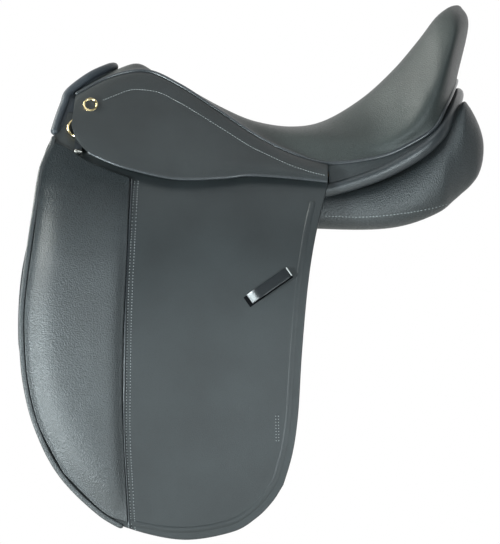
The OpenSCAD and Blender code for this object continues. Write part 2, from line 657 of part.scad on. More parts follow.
module catch_pins() {
    low = bar_stand - bar_d / 2 + 0.6;
    color([0.8, 0.8, 0.82]) for (m = [0, 1]) mirror([0, m, 0]) on_bar() translate([pin_x, 0, low])
        cylinder(d = catch_pin_d, h = bar_d - 0.9, $fn = 24);
}

module bar_rivets() {
    head_h = 1.4;
    color([0.6, 0.6, 0.62]) for (m = [0, 1]) mirror([0, m, 0]) on_bar() for (p = rivet_places) translate(p) {
        translate([0, 0, rail_in + lay])
            cylinder(d = rivet_d, h = bar_seat + bar_plate_t - rail_in - lay, $fn = 24);
        translate([0, 0, bar_seat + bar_plate_t + run]) cylinder(d = rivet_d + 3, h = head_h, $fn = 24);
        translate([0, 0, bar_seat + bar_plate_t]) cylinder(d = rivet_d, h = head_h, $fn = 24);
    }
}

module tree_rail() {
    top = all_at([[0, 82], [-50, 108], [-95, 136], [-149, 150]]);
    rear = all_at([[58, 60], [58, 64]]);
    color([0.6, 0.45, 0.28]) difference() {
        sheet(concat([[head_rear + lay, tree_low]], rear, [for (k = [0:2]) top[k]],
            [[head_rear + lay, top[3][1]]]), rail_in, rail_out);
        on_bar() for (p = rivet_places) translate([p[0], p[1], rail_in - 1])
            cylinder(d = rivet_d + 2 * run, h = rail_t + 2, $fn = 24);
    }
}

module spring_steels() {
    low = tree_low + 6;
    rise = spring_w * cos(atan(tree_spread));
    color([0.4, 0.42, 0.45]) for (m = [0, 1]) mirror([0, m, 0])
        sheet(box_outline(head_rear + 1, px(100), low, low + rise), spring_out - spring_t, spring_out);
}

// Girth web along the tree rail, and the two girth straps that hang from it
web_top = pz(81);
strap_front_x = px(-92);
strap_rear_x = px(-26);
// Angle that a strap swings fore and aft, and the room its corners need under the web
strap_swing = 8;
strap_top = tree_low - strap_w / 2 * sin(strap_swing) - lay;
module girth_web() {
    past = 8;
    color([0.8, 0.78, 0.7])
        sheet(box_outline(strap_front_x - strap_w / 2 - past, strap_rear_x + strap_w / 2 + past,
            tree_low, web_top), web_in, web_in + web_t);
}

module girth_strap(x) {
    tip = 12;
    half = strap_w / 2;
    holes = 6;
    first = 32;
    color([0.13, 0.14, 0.15]) difference() {
        sheet([[x - half, -strap_drop + tip], [x - half / 3, -strap_drop], [x + half / 3, -strap_drop],
            [x + half, -strap_drop + tip], [x + half, strap_top], [x - half, strap_top]],
            strap_in, strap_out);
        for (k = [0:holes - 1]) on_slope(x, -strap_drop + first + k * hole_pitch)
            translate([0, 0, strap_in - 2]) cylinder(d = hole_d, h = strap_t + 4, $fn = 24);
    }
}

// Screws that hold the heads of the flaps
screw_d = 4.2;
screw_places = all_at([[-184, 78], [-162, 76], [-96, 70], [-22, 66]]);
module flap_screws() {
    head_h = 1.6;
    color([0.72, 0.7, 0.6]) for (m = [0, 1]) mirror([0, m, 0]) for (p = screw_places) on_slope(p[0], p[1]) {
        translate([0, 0, flap_out + 0.1]) cylinder(d = screw_head_d, h = head_h, $fn = 32);
        translate([0, 0, -0.4]) cylinder(d = screw_d, h = flap_out + 0.4 + head_h, $fn = 24);
    }
}

// Stud seated on the head of the skirt, turned to face out from it
module saddle_stud() {
    edges = skirt_head_edges();
    column = 1;
    row = 0.5;
    reach = 0.2;
    spot = function (i, v) on_layer(edges[0][i] * (1 - v) + edges[1][i] * v,
        skirt_head_in(i / head_cols, v) + skirt_t);
    across = spot(column + 1, row) - spot(column - 1, row);
    down = spot(column, row + reach) - spot(column, row - reach);
    out = cross(across, down);
    uz = out / norm(out);
    ux = across / norm(across);
    uy = cross(uz, ux);
    seat = spot(column, row) + lay * uz;
    color([0.8, 0.72, 0.5])
        multmatrix([[ux[0], uy[0], uz[0], seat[0]], [ux[1], uy[1], uz[1], seat[1]],
            [ux[2], uy[2], uz[2], seat[2]], [0, 0, 0, 1]])
        rotate_extrude($fn = 48)
            polygon([[0, 0], [stud_d / 2 - 0.6, 0], [stud_d / 2, 0.6], [stud_d / 2 - 0.5, stud_h],
                [stud_d / 2 - 1.6, stud_h], [stud_d / 2 - 2.2, stud_h - 0.7], [0, stud_h - 0.7]]);
}

// Dee ring on its chape, in front of the skirt
dee_x = px(-241);
dee_z = pz(113);
chape_in = flap_out + lay;
dee_out = chape_in + dee_wire / 2 + 0.9;
// The straight side of the ring is a little thicker than its bow
dee_bar = dee_wire + 0.3;
chape_w = 17;
module dee_ring() {
    color([0.85, 0.7, 0.35]) on_slope(dee_x, dee_z) translate([0, 0, dee_out]) {
        rotate([0, 0, 90]) rotate_extrude(angle = 180, $fn = 48) translate([dee_r, 0])
            circle(d = dee_wire, $fn = 16);
        translate([0, dee_r + dee_bar / 2, 0]) rotate([90, 0, 0])
            cylinder(d = dee_bar, h = 2 * dee_r + dee_bar, $fn = 16);
    }
}

module dee_chape() {
    length = 26;
    nose = dee_wire / 2 + 2.4;
    depth = dee_wire + 1.8;
    bore = dee_bar + 0.5;
    color([0.14, 0.15, 0.16]) on_slope(dee_x, dee_z) difference() {
        translate([-nose, -chape_w / 2, chape_in]) cube([nose + length, chape_w, depth]);
        translate([0, chape_w, dee_out]) rotate([90, 0, 0]) cylinder(d = bore, h = 2 * chape_w, $fn = 24);
    }
}

// Small strap end with a metal tip, below the dee ring
module front_tab() {
    wide_w = 8;
    long = 16;
    thick = 2.5;
    drop = dee_r + dee_wire / 2 + 1;
    color([0.15, 0.16, 0.17]) on_slope(dee_x, dee_z) translate([-wide_w / 2 - 1, -drop - long, chape_in])
        cube([wide_w, long, thick]);
}

// Slanted strap that stands over the flap on its two ends
keeper_place = at([-19, -66]);
keeper_slant = 35;
module keeper_strap() {
    foot = 6;
    rise = 5;
    half = keeper_len / 2;
    seat = flap_out + lay;
    top = keeper_gap + keeper_t;
    color([0.3, 0.32, 0.33]) on_slope(keeper_place[0], keeper_place[1]) rotate([0, 0, keeper_slant])
        translate([0, keeper_w / 2, seat]) rotate([90, 0, 0]) linear_extrude(keeper_w)
            polygon([[-half, 0], [-half + foot, 0], [-half + foot + rise, keeper_gap],
                [half - foot - rise, keeper_gap], [half - foot, 0], [half, 0], [half, keeper_t * 0.7],
                [half - foot, top], [-half + foot, top], [-half, keeper_t * 0.7]]);
}

// Loop sewn inside the flap for the end of a girth strap
module billet_loop() {
    tall = 16;
    wall = 2;
    slot = [strap_w + 3, strap_t + 0.6];
    size = [slot[0] + 2 * wall, tall, slot[1] + wall];
    place = at([-26, -236]);
    color([0.14, 0.15, 0.16]) on_slope(place[0], place[1]) translate([0, 0, -lay - size[2]]) difference() {
        translate([-size[0] / 2, -tall / 2, 0]) cube(size);
        translate([-slot[0] / 2, -tall, wall]) cube([slot[0], 2 * tall, slot[1] + wall]);
    }
}

// Every piece by name; _l is the near side and _r the far side

seat_cover();
seat_foam();
seat_webbing();
seat_welt();
pommel_facing();
rear_roll();
tree_head();
gullet_plate();
tree_cantle();
channel_lining();
flap_screws();
bar_rivets();
spring_steels();
catch_pins();
near() tree_rail();  // tree_rail_l
tree_rail();  // tree_rail_r
near() panel();  // panel_l
panel();  // panel_r
near() sweat_flap();  // sweat_flap_l
sweat_flap();  // sweat_flap_r
near() point_pocket();  // point_pocket_l
point_pocket();  // point_pocket_r
near() flap();  // flap_l
flap();  // flap_r
near() flap_head();  // flap_head_l
flap_head();  // flap_head_r
near() knee_pad();  // knee_pad_l
knee_pad();  // knee_pad_r
near() knee_pad_head();  // knee_pad_head_l
knee_pad_head();  // knee_pad_head_r
near() knee_binding();  // knee_binding_l
knee_binding();  // knee_binding_r
near() keeper_strap();  // keeper_strap_l
keeper_strap();  // keeper_strap_r
near() billet_loop();  // billet_loop_l
billet_loop();  // billet_loop_r
near() skirt();  // skirt_l
skirt();  // skirt_r
near() skirt_head();  // skirt_head_l
skirt_head();  // skirt_head_r
near() skirt_tail();  // skirt_tail_l
skirt_tail();  // skirt_tail_r
near() stirrup_bar();  // stirrup_bar_l
stirrup_bar();  // stirrup_bar_r
near() bar_catch();  // bar_catch_l
bar_catch();  // bar_catch_r
near() girth_web();  // girth_web_l
girth_web();  // girth_web_r
near() girth_strap(strap_front_x);  // strap_front_l
girth_strap(strap_front_x);  // strap_front_r
near() girth_strap(strap_rear_x);  // strap_rear_l
girth_strap(strap_rear_x);  // strap_rear_r
near() saddle_stud();  // saddle_stud_l
saddle_stud();  // saddle_stud_r
near() dee_ring();  // dee_ring_l
dee_ring();  // dee_ring_r
near() dee_chape();  // dee_chape_l
dee_chape();  // dee_chape_r
near() front_tab();  // front_tab_l
front_tab();  // front_tab_r
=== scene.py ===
import math

import bpy
import numpy as np
from mathutils import Matrix, Vector


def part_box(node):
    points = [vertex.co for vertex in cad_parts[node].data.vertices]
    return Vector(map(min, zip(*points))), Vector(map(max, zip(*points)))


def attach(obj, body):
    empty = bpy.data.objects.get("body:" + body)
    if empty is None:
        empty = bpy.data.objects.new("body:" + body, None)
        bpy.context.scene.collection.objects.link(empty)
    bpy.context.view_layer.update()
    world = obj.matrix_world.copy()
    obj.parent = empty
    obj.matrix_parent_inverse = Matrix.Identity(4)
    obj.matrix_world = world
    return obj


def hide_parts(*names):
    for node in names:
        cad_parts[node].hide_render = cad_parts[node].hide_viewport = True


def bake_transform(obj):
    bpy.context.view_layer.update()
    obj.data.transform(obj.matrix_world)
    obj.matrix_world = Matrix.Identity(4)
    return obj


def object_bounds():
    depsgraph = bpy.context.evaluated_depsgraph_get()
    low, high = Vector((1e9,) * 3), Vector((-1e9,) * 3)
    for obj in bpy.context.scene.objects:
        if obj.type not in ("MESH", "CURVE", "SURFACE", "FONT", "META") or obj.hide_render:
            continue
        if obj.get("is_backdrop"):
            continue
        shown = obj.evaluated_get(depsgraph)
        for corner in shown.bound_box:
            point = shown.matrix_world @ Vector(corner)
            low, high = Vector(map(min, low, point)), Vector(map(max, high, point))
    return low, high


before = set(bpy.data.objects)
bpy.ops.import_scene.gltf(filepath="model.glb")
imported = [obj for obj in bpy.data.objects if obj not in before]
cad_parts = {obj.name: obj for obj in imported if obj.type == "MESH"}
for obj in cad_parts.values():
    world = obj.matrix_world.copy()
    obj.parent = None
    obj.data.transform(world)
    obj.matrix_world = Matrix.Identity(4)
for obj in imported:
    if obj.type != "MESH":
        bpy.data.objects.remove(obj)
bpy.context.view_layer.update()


# Tree head, rails and cantle
# Laminated beech, steamed to shape and varnished. The head, the two rails and the cantle are glued and
# riveted into one frame that everything else is nailed to. The head is wrapped in black scrim where it shows.
def material(name, colour, roughness, metallic=0.0):
    made = bpy.data.materials.new(name)
    made.use_nodes = True
    shader = made.node_tree.nodes["Principled BSDF"]
    shader.inputs["Base Color"].default_value = (*colour, 1)
    shader.inputs["Roughness"].default_value = roughness
    shader.inputs["Metallic"].default_value = metallic
    return made, shader


def add_node(made, kind, links=(), settings=(), **values):
    new = made.node_tree.nodes.new("ShaderNode" + kind)
    for key, value in settings:
        setattr(new, key, value)
    for key, value in values.items():
        new.inputs[key.replace("_", " ")].default_value = value
    for key, source in links:
        made.node_tree.links.new(source, new.inputs[key])
    return new


def two_tones(made, source, dark, light):
    ramp = add_node(made, "ValToRGB", [("Fac", source)])
    ramp.color_ramp.elements[0].position = 0.3
    ramp.color_ramp.elements[0].color = (*dark, 1)
    ramp.color_ramp.elements[1].position = 0.7
    ramp.color_ramp.elements[1].color = (*light, 1)
    return ramp.outputs["Color"]


def tint(made, shader, source, dark, light):
    made.node_tree.links.new(two_tones(made, source, dark, light), shader.inputs["Base Color"])


def relief(made, shader, source, strength, depth):
    bump = add_node(made, "Bump", [("Height", source)], Strength=strength, Distance=depth)
    made.node_tree.links.new(bump.outputs["Normal"], shader.inputs["Normal"])


def object_place(made, scale=(1, 1, 1)):
    place = add_node(made, "TexCoord")
    return add_node(made, "Mapping", [("Vector", place.outputs["Object"])], Scale=scale).outputs["Vector"]


def finish_node(name, made):
    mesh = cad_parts[name].data
    mesh.materials.clear()
    mesh.materials.append(made)


wood, shader = material("Varnished beech", (0.35, 0.2, 0.09), 0.42)
rings = add_node(wood, "TexNoise", [("Vector", object_place(wood, (9, 120, 120)))], Scale=1.0, Detail=5.0)
tint(wood, shader, rings.outputs["Fac"], (0.24, 0.12, 0.05), (0.46, 0.28, 0.13))
relief(wood, shader, rings.outputs["Fac"], strength=0.2, depth=0.0004)
for name in ["tree_cantle", "tree_rail_l", "tree_rail_r"]:
    finish_node(name, wood)
scrim, shader = material("Black scrim", (0.02, 0.02, 0.022), 0.7)
cloth = add_node(scrim, "TexNoise", [("Vector", object_place(scrim))], Scale=900.0, Detail=3.0)
tint(scrim, shader, cloth.outputs["Fac"], (0.012, 0.012, 0.013), (0.03, 0.03, 0.032))
relief(scrim, shader, cloth.outputs["Fac"], strength=0.4, depth=0.0005)
finish_node("tree_head", scrim)


# Gullet plate, spring steels, stirrup bars, catches, pins, rivets and screws
# Forged and pressed steel, blued where it stays hidden and polished on the bars that carry the stirrups.
# The bars are riveted through the rails, their catches turn on pins, and the screws hold the flaps.
def metal(name, colour, roughness, grind):
    made, shader = material(name, colour, roughness, 1.0)
    cloud = add_node(made, "TexNoise", [("Vector", object_place(made, (60, 60, 60)))], Scale=1.0, Detail=4.0)
    spread = add_node(made, "MapRange", [("Value", cloud.outputs["Fac"])], To_Min=roughness - grind,
                      To_Max=roughness + grind)
    made.node_tree.links.new(spread.outputs["Result"], shader.inputs["Roughness"])
    lines = add_node(made, "TexNoise", [("Vector", object_place(made, (300, 2500, 2500)))], Scale=1.0)
    relief(made, shader, lines.outputs["Fac"], strength=0.12, depth=0.0001)
    return made


steel = metal("Polished steel", (0.62, 0.63, 0.64), roughness=0.24, grind=0.08)
dull_steel = metal("Blued steel", (0.2, 0.21, 0.23), roughness=0.45, grind=0.1)
for name in ["gullet_plate", "spring_steels"]:
    finish_node(name, dull_steel)
for name in ["stirrup_bar_l", "stirrup_bar_r", "bar_catch_l", "bar_catch_r", "catch_pins", "bar_rivets",
             "flap_screws"]:
    finish_node(name, steel)


# Girth webs and seat webbing
# Woven cotton and nylon web. One web is stretched over the seat from the head to the cantle and tacked
# down, and a girth web is tacked to each rail to carry the straps.
webbing, shader = material("Woven web", (0.55, 0.5, 0.4), 0.85)
weave = [add_node(webbing, "TexWave", [("Vector", object_place(webbing))], [("bands_direction", way)],
                  Scale=420.0, Distortion=0.4) for way in ("X", "Z")]
threads = add_node(webbing, "Math", [(0, weave[0].outputs["Fac"]), (1, weave[1].outputs["Fac"])],
                   [("operation", "MULTIPLY")])
tint(webbing, shader, threads.outputs["Value"], (0.32, 0.29, 0.22), (0.6, 0.55, 0.45))
relief(webbing, shader, threads.outputs["Value"], strength=0.5, depth=0.0005)
for name in ["girth_web_l", "girth_web_r", "seat_webbing"]:
    finish_node(name, webbing)


# Panels
# Two long bags of grained leather stuffed with wool flock, laced under the tree. They bear on the horse
# either side of the spine. Each is sewn up from stations and then puffed by a short cloth run.
def along(points, s):
    # Smooth curve through points, at parts s of its length
    p = np.asarray(points, float)
    sums = np.concatenate([[0], np.cumsum(np.linalg.norm(np.diff(p, axis=0), axis=1))])
    at = np.clip(s, 0, 1) * sums[-1]
    i = np.clip(np.searchsorted(sums, at, side="right") - 1, 0, len(p) - 2)
    return through(p, i + (at - sums[i]) / (sums[i + 1] - sums[i]))


def through(p, t):
    # The same curve at place t, where whole numbers are the points
    p = np.asarray(p, float)
    i = np.clip(np.floor(t).astype(int), 0, len(p) - 2)
    f = (t - i)[:, None]
    q = np.concatenate([[2 * p[0] - p[1]], p, [2 * p[-1] - p[-2]]])
    a, b, c, d = q[i], q[i + 1], q[i + 2], q[i + 3]
    return b + 0.5 * f * ((c - a) + f * ((2 * a - 5 * b + 4 * c - d) + f * (3 * b - a - 3 * c + d)))


def rounded(v, square):
    # Across and up parts of a circle at turn v; a smaller power makes it squarer
    return [np.sign(k) * np.abs(k) ** square for k in (np.cos(math.tau * v), np.sin(math.tau * v))]


def sheet_piece(name, cols, rows, outer, inner=None, weld=0.0):
    # A grid whose points are placed by outer(u, v) in millimetres, and given a back face by inner(u, v)
    bpy.ops.object.select_all(action="DESELECT")
    bpy.ops.mesh.primitive_grid_add(x_subdivisions=cols, y_subdivisions=rows, size=2)
    piece = bpy.context.object
    piece.name = piece.data.name = name
    flat = np.empty(len(piece.data.vertices) * 3)
    piece.data.vertices.foreach_get("co", flat)
    u, v = (flat[0::3] + 1) / 2, (1 - flat[1::3]) / 2
    places = outer(u, v)
    if inner:
        apply_modifier(piece, "SOLIDIFY", thickness=0.1, offset=-1)
        places = np.concatenate([places, inner(u, v)])
    piece.data.vertices.foreach_set("co", (0.001 * places).ravel())
    piece.data.update()
    if weld:
        bpy.ops.object.mode_set(mode="EDIT")
        bpy.ops.mesh.select_all(action="SELECT")
        bpy.ops.mesh.remove_doubles(threshold=weld)
        bpy.ops.mesh.select_all(action="DESELECT")
        bpy.ops.object.mode_set(mode="OBJECT")
        # Where two halves meet in the middle of the saddle, the walls between them go
        for face in piece.data.polygons:
            face.select = all(abs(piece.data.vertices[i].co.y) < 1e-6 for i in face.vertices)
        bpy.ops.object.mode_set(mode="EDIT")
        bpy.ops.mesh.delete(type="FACE")
        bpy.ops.mesh.select_all(action="SELECT")
        bpy.ops.mesh.normals_make_consistent(inside=False)
        bpy.ops.object.mode_set(mode="OBJECT")
    return piece


def apply_modifier(piece, kind, **settings):
    modifier = piece.modifiers.new(kind.title(), kind)
    for key, value in settings.items():
        setattr(modifier, key, value)
    bpy.context.view_layer.objects.active = piece
    bpy.ops.object.modifier_apply(modifier=modifier.name)


def far_side(piece, name):
    bpy.ops.object.select_all(action="DESELECT")
    piece.select_set(True)
    bpy.context.view_layer.objects.active = piece
    bpy.ops.object.duplicate()
    copy = bpy.context.object
    copy.name = copy.data.name = name
    copy.data.transform(Matrix.Scale(-1, 4, (0, 1, 0)))
    copy.data.flip_normals()
    return copy


def puff_up(piece, free, pressure, cap):
    # Blows the free part of a piece up as cloth, and lets no point move further than cap
    rest = np.empty(len(piece.data.vertices) * 3)
    piece.data.vertices.foreach_get("co", rest)
    pins = piece.vertex_groups.new(name="pins")
    for vertex in piece.data.vertices:
        weight = 1 - free(1000 * vertex.co)
        if weight > 0:
            pins.add([vertex.index], weight, "REPLACE")
    cloth = piece.modifiers.new("Cloth", "CLOTH")
    cloth.settings.quality = 6
    cloth.settings.mass = 0.4
    cloth.settings.tension_stiffness = cloth.settings.compression_stiffness = 12
    cloth.settings.bending_stiffness = 3
    cloth.settings.vertex_group_mass = "pins"
    cloth.settings.use_pressure = True
    cloth.settings.uniform_pressure_force = pressure
    cloth.settings.effector_weights.gravity = 0
    cloth.collision_settings.use_collision = False
    last_step = 20
    cloth.point_cache.frame_start = 1
    cloth.point_cache.frame_end = last_step
    for number in range(1, last_step + 1):
        bpy.context.scene.frame_set(number)
    bpy.context.view_layer.objects.active = piece
    bpy.ops.object.modifier_apply(modifier=cloth.name)
    bpy.context.scene.frame_set(1)
    moved = np.empty(len(rest))
    piece.data.vertices.foreach_get("co", moved)
    shift = (moved - rest).reshape(-1, 3)
    size = np.linalg.norm(shift, axis=1, keepdims=True) + 1e-9
    kept = rest.reshape(-1, 3) + shift * np.minimum(size, cap) / size
    piece.data.vertices.foreach_set("co", kept.ravel())
    piece.vertex_groups.clear()


def leather(name, colour, roughness, scale, depth, pebbles, gloss, shine=0.0, polish_and_shade=None):
    # Pebbled skin over cloudy colour; scale and depth are those of the grain, and shine is a clear finish
    made, shader = material(name, colour, roughness)
    place = object_place(made)
    cloud = add_node(made, "TexNoise", [("Vector", place)], Scale=14.0, Detail=3.0)
    dark, light = [tuple(c * k for c in colour) for k in (0.82, 1.2)]
    tone = two_tones(made, cloud.outputs["Fac"], dark, light)
    cells = add_node(made, "TexVoronoi", [("Vector", place)], [("feature", "SMOOTH_F1")], Scale=scale,
                     Smoothness=0.6)
    fine = add_node(made, "TexNoise", [("Vector", place)], Scale=2.2 * scale, Detail=2.0)
    grain = add_node(made, "Mix", [("A", fine.outputs["Fac"]), ("B", cells.outputs["Distance"])],
                     Factor=pebbles)
    relief(made, shader, grain.outputs["Result"], strength=0.8, depth=depth)
    pits = add_node(made, "MapRange", [("Value", grain.outputs["Result"])], From_Min=0.2, From_Max=0.7,
                    To_Min=1 + pebbles / 2, To_Max=1 - pebbles / 2)
    pitted = add_node(made, "VectorMath", [(0, tone), (1, pits.outputs["Result"])],
                      [("operation", "MULTIPLY")])
    made.node_tree.links.new(pitted.outputs["Vector"], shader.inputs["Base Color"])
    spread = add_node(made, "MapRange", [("Value", cells.outputs["Distance"])], From_Max=0.8,
                      To_Min=roughness - 0.05, To_Max=roughness + 0.07)
    made.node_tree.links.new(spread.outputs["Result"], shader.inputs["Roughness"])
    shader.inputs["Specular IOR Level"].default_value = gloss
    if polish_and_shade:
        # Partly painted shade: the gloss is full below the first height and falls to a tenth above the
        # second, standing in for the shade under the skirt as well as the polish the rider's leg gives the
        # lower leather
        height = add_node(made, "SeparateXYZ", [("Vector", place)])
        gloss_fade = add_node(made, "MapRange", [("Value", height.outputs["Z"])], From_Min=polish_and_shade[0],
                          From_Max=polish_and_shade[1], To_Min=gloss, To_Max=0.1 * gloss)
        made.node_tree.links.new(gloss_fade.outputs["Result"], shader.inputs["Specular IOR Level"])
    shader.inputs["Coat Weight"].default_value = shine
    shader.inputs["Coat Roughness"].default_value = 0.3
    return made


def dress(piece, made, body="saddle", replaced=()):
    piece.data.materials.clear()
    piece.data.materials.append(made)
    bpy.ops.object.select_all(action="DESELECT")
    piece.select_set(True)
    bpy.context.view_layer.objects.active = piece
    bpy.ops.object.shade_smooth_by_angle(angle=math.radians(50))
    if replaced:
        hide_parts(*replaced)
    if body:
        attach(piece, body)


def dress_both(near, made, body="saddle", nodes=(), bend=None):
    # Copies a near-side piece to the far side, mirrored, and dresses the two alike
    far = far_side(near, near.name.replace("near", "far"))
    for piece, side in ((near, "l"), (far, "r")):
        dress(piece, made, body + side if body == "flap_" else body, [node + side for node in nodes])
        if bend:
            bend(piece, side)


grain_leather = leather("Grained leather", (0.023, 0.0272, 0.0292), roughness=0.4, scale=620.0, depth=0.0009,
                        pebbles=0.6, gloss=0.8)
# Stations: X, inner edge past the channel, outer edge, middle height, half-thickness, side fall
panel_stations = [
    (-242, 34, 84, 84, 6, 1.2), (-236, 24, 95, 82, 18, 1.2), (-215, 15, 101, 80, 23, 1.2),
    (-150, 4, 108, 72, 25, 1.05), (-70, 0, 121, 54, 28, 0.7), (10, 0, 130, 38, 28, 0.42),
    (90, 0, 133, 31, 28.5, 0.24), (140, 0, 131, 42, 36, 0.2), (180, 0, 124, 65, 45, 0.15),
    (198, 0, 114, 85.5, 51.5, 0.1), (208, 2, 108, 96, 53.5, 0.05), (214.5, 5, 103, 96, 48, 0),
    (220.5, 8, 98, 94.5, 40, 0), (225.5, 11, 93, 93, 31.5, 0), (229.3, 15, 87, 92.5, 22, 0),
    (231.6, 19, 81, 93, 12.5, 0), (232.4, 24, 76, 94, 5, 0)]
channel_half = 33


def panel_place(u, v):
    # Boxy rounded sections from station to station, drawn together over a short part at both ends
    ends = 0.03
    end_curve = 0.6
    squareness = 0.8
    t = np.clip((u - ends) / (1 - 2 * ends), 0, 1) * (len(panel_stations) - 1)
    s = through(panel_stations, t)
    small = np.clip(np.minimum(u, 1 - u) / ends, 0, 1) ** end_curve
    across, up = rounded(v, squareness)
    inner, outer = channel_half + s[:, 1], s[:, 2]
    y = (outer - inner) / 2 * across * small
    return np.stack([s[:, 0], -((inner + outer) / 2 + y), s[:, 3] + s[:, 4] * up * small - s[:, 5] * y], 1)


def panel_free(p):
    # The stuffing may blow up the part behind the flap, which is the part that shows
    flap_end = 45
    fade = 40
    return min(1, max(0, (p[0] - flap_end) / fade))


panel_l = sheet_piece("Panel_near", 104, 48, panel_place, weld=0.0004)
puff_up(panel_l, panel_free, pressure=4.0, cap=0.003)
dress_both(panel_l, grain_leather, "saddle", ["panel_"])


# Channel lining
# A strip of thin dark leather that closes the channel between the panels from above, a little arched.
# It is sewn to the inner edges of the two panels.
def lining_place(offset):
    lap = 1.0
    arch = 4
    first, last = 3, 9

    def place(u, v):
        s = through(panel_stations, first + (last - first) * u)
        half = channel_half + s[:, 1] + lap
        z = s[:, 3] + s[:, 5] * (s[:, 2] - half) / 2 + arch * (1 - (2 * v - 1) ** 2)
        return np.stack([s[:, 0], half * (1 - 2 * v), z + offset], 1)
    return place


dark_leather = leather("Dark leather", (0.021, 0.025, 0.029), roughness=0.42, scale=900.0, depth=0.0004,
                       pebbles=0.4, gloss=0.4)
half_lining = 1.0
lining = sheet_piece("Channel_lining", 40, 12, lining_place(half_lining), lining_place(-half_lining))
dress(lining, dark_leather, "saddle", ["channel_lining"])


# Sweat flaps, point pockets and girth straps
# Under-flaps of plain dark leather that keep the straps off the horse, with a sewn pocket for each point of
# the tree. The straps are skived bridle leather with punched holes, and hang from the webs.
side_bend = 50
side_half = 138
upper_fall = 0.72
lower_fall = 0.06
bend_fall = 0.66
bend_length = 90


def slope(z):
    # How fast the side of the saddle runs outwards going down: steady above the bend, nearly upright below
    low = np.minimum(z, side_bend) - side_bend
    return np.where(z >= side_bend, upper_fall, lower_fall + bend_fall * np.exp(low / bend_length))


def on_side(flat, out):
    # Points drawn as X and Z, laid on the near side of the saddle a distance out from it
    x, z = flat[:, 0], flat[:, 1]
    low = np.minimum(z, side_bend) - side_bend
    high = np.maximum(z, side_bend) - side_bend
    y = (side_half - upper_fall * high - lower_fall * low
         + bend_fall * bend_length * (1 - np.exp(low / bend_length)))
    return np.stack([x, -(y + out * np.sqrt(1 + slope(z) ** 2)), z], 1)


def patch(top, bottom, front, rear, u, v):
    # Surface between four edges that meet at their ends
    top, bottom, front, rear = [np.asarray(edge, float) for edge in (top, bottom, front, rear)]
    a, b = u[:, None], v[:, None]
    corners = (top[0] * (1 - a) + top[-1] * a) * (1 - b) + (bottom[0] * (1 - a) + bottom[-1] * a) * b
    return (along(top, u) * (1 - b) + along(bottom, u) * b + along(front, v) * (1 - a) + along(rear, v) * a
            - corners)


def round_rim(piece, width, segments=3):
    apply_modifier(piece, "BEVEL", width=0.001 * width, segments=segments, limit_method="ANGLE",
                   angle_limit=math.radians(50))


sweat_front = [(-236, 59.5), (-285, 20), (-306, -40), (-312, -116), (-305, -165), (-270, -255),
               (-253, -284)]
sweat_bottom = [(-253, -284), (-215, -310), (-118, -334), (-45, -310), (-25, -290)]
sweat_rear = [(30, 59.5), (12, -66), (0, -201), (-25, -290)]
sweat_face = -10
sweat_back = -13


def sweat_place(out):
    top = [sweat_front[0], sweat_rear[0]]
    return lambda u, v: on_side(patch(top, sweat_bottom, sweat_front, sweat_rear, u, v), out)


sweat_l = sheet_piece("Sweat_flap_near", 40, 48, sweat_place(sweat_face), sweat_place(sweat_back))
round_rim(sweat_l, 0.9)
dress_both(sweat_l, dark_leather, "saddle", ["sweat_flap_"])
for name in ["point_pocket_l", "point_pocket_r", "strap_front_l", "strap_front_r", "strap_rear_l",
             "strap_rear_r", "billet_loop_l", "billet_loop_r"]:
    finish_node(name, dark_leather)


# Flaps
# The large outer leathers, cut from smooth butt leather, screwed to the tree under the skirt and creased
# with a hot iron along the bottom and rear edges.
head_top = [(-254.5, 134), (-235, 130), (-210, 114), (-185, 92), (-150, 85.5), (-60, 85.5), (0, 74),
            (50, 57)]
head_front = [(-254.5, 134), (-262.5, 114), (-272, 105), (-282, 84)]
flap_edge = [(-291, 52), (-299, 0), (-309, -75), (-311, -120), (-307, -178), (-293, -234), (-264, -290),
             (-216, -337), (-178, -356), (-118, -364), (-62, -355), (-34, -339), (-15, -320), (-2, -300)]
flap_rear = [(50, 57), (49, 45), (36, -9), (27, -66), (20, -143), (16.2, -206), (13, -238), (9, -262),
             (4, -281), (-2, -300)]
# The front edge turns into the bottom edge at this point of the flap's edge
edge_turn = 6
flap_thick = 4.5


def ease(f):
    f = np.clip(f, 0, 1)
    return f * f * (3 - 2 * f)


def inset(line, depth):
    # Draws an edge in along the knee pad; towards the rear the draw fades out
    fade_end = -150
    fade = 34
    line = np.asarray(line, float)
    ends = np.concatenate([line[:1], line, line[-1:]])
    way = ends[2:] - ends[:-2]
    way = np.stack([-way[:, 1], way[:, 0]], 1) / np.linalg.norm(way, axis=1, keepdims=True)
    return line + depth * ease((fade_end - line[:, 0]) / fade)[:, None] * way


def square_side(flat, out):
    # As on_side, but with the distance taken square to the side, so that edges are cut square
    s = slope(flat[:, 1])
    k = np.sqrt(1 + s * s)
    base = on_side(flat, 0)
    return base + out * np.stack([0 * s, -1 / k, s / k], 1)


def flap_place(out):
    # The edge is drawn in to make room for the binding
    edge = [tuple(p) for p in inset(flap_edge, 4.0)]
    front = head_front + edge[:edge_turn + 1]
    return lambda u, v: square_side(patch(head_top, edge[edge_turn:], front, flap_rear, u, v), out)


def bend_at_flap(piece, side):
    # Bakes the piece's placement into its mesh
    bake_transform(piece)


smooth_leather = leather("Smooth leather", (0.019, 0.0225, 0.0238), roughness=0.4, scale=1100.0, depth=0.0003,
                         pebbles=0.35, gloss=0.5)
flap_l = sheet_piece("Flap_near", 96, 120, flap_place(flap_thick), flap_place(0))
round_rim(flap_l, 1.5)
dress_both(flap_l, smooth_leather, None, ["flap_", "flap_head_"], bend=bend_at_flap)


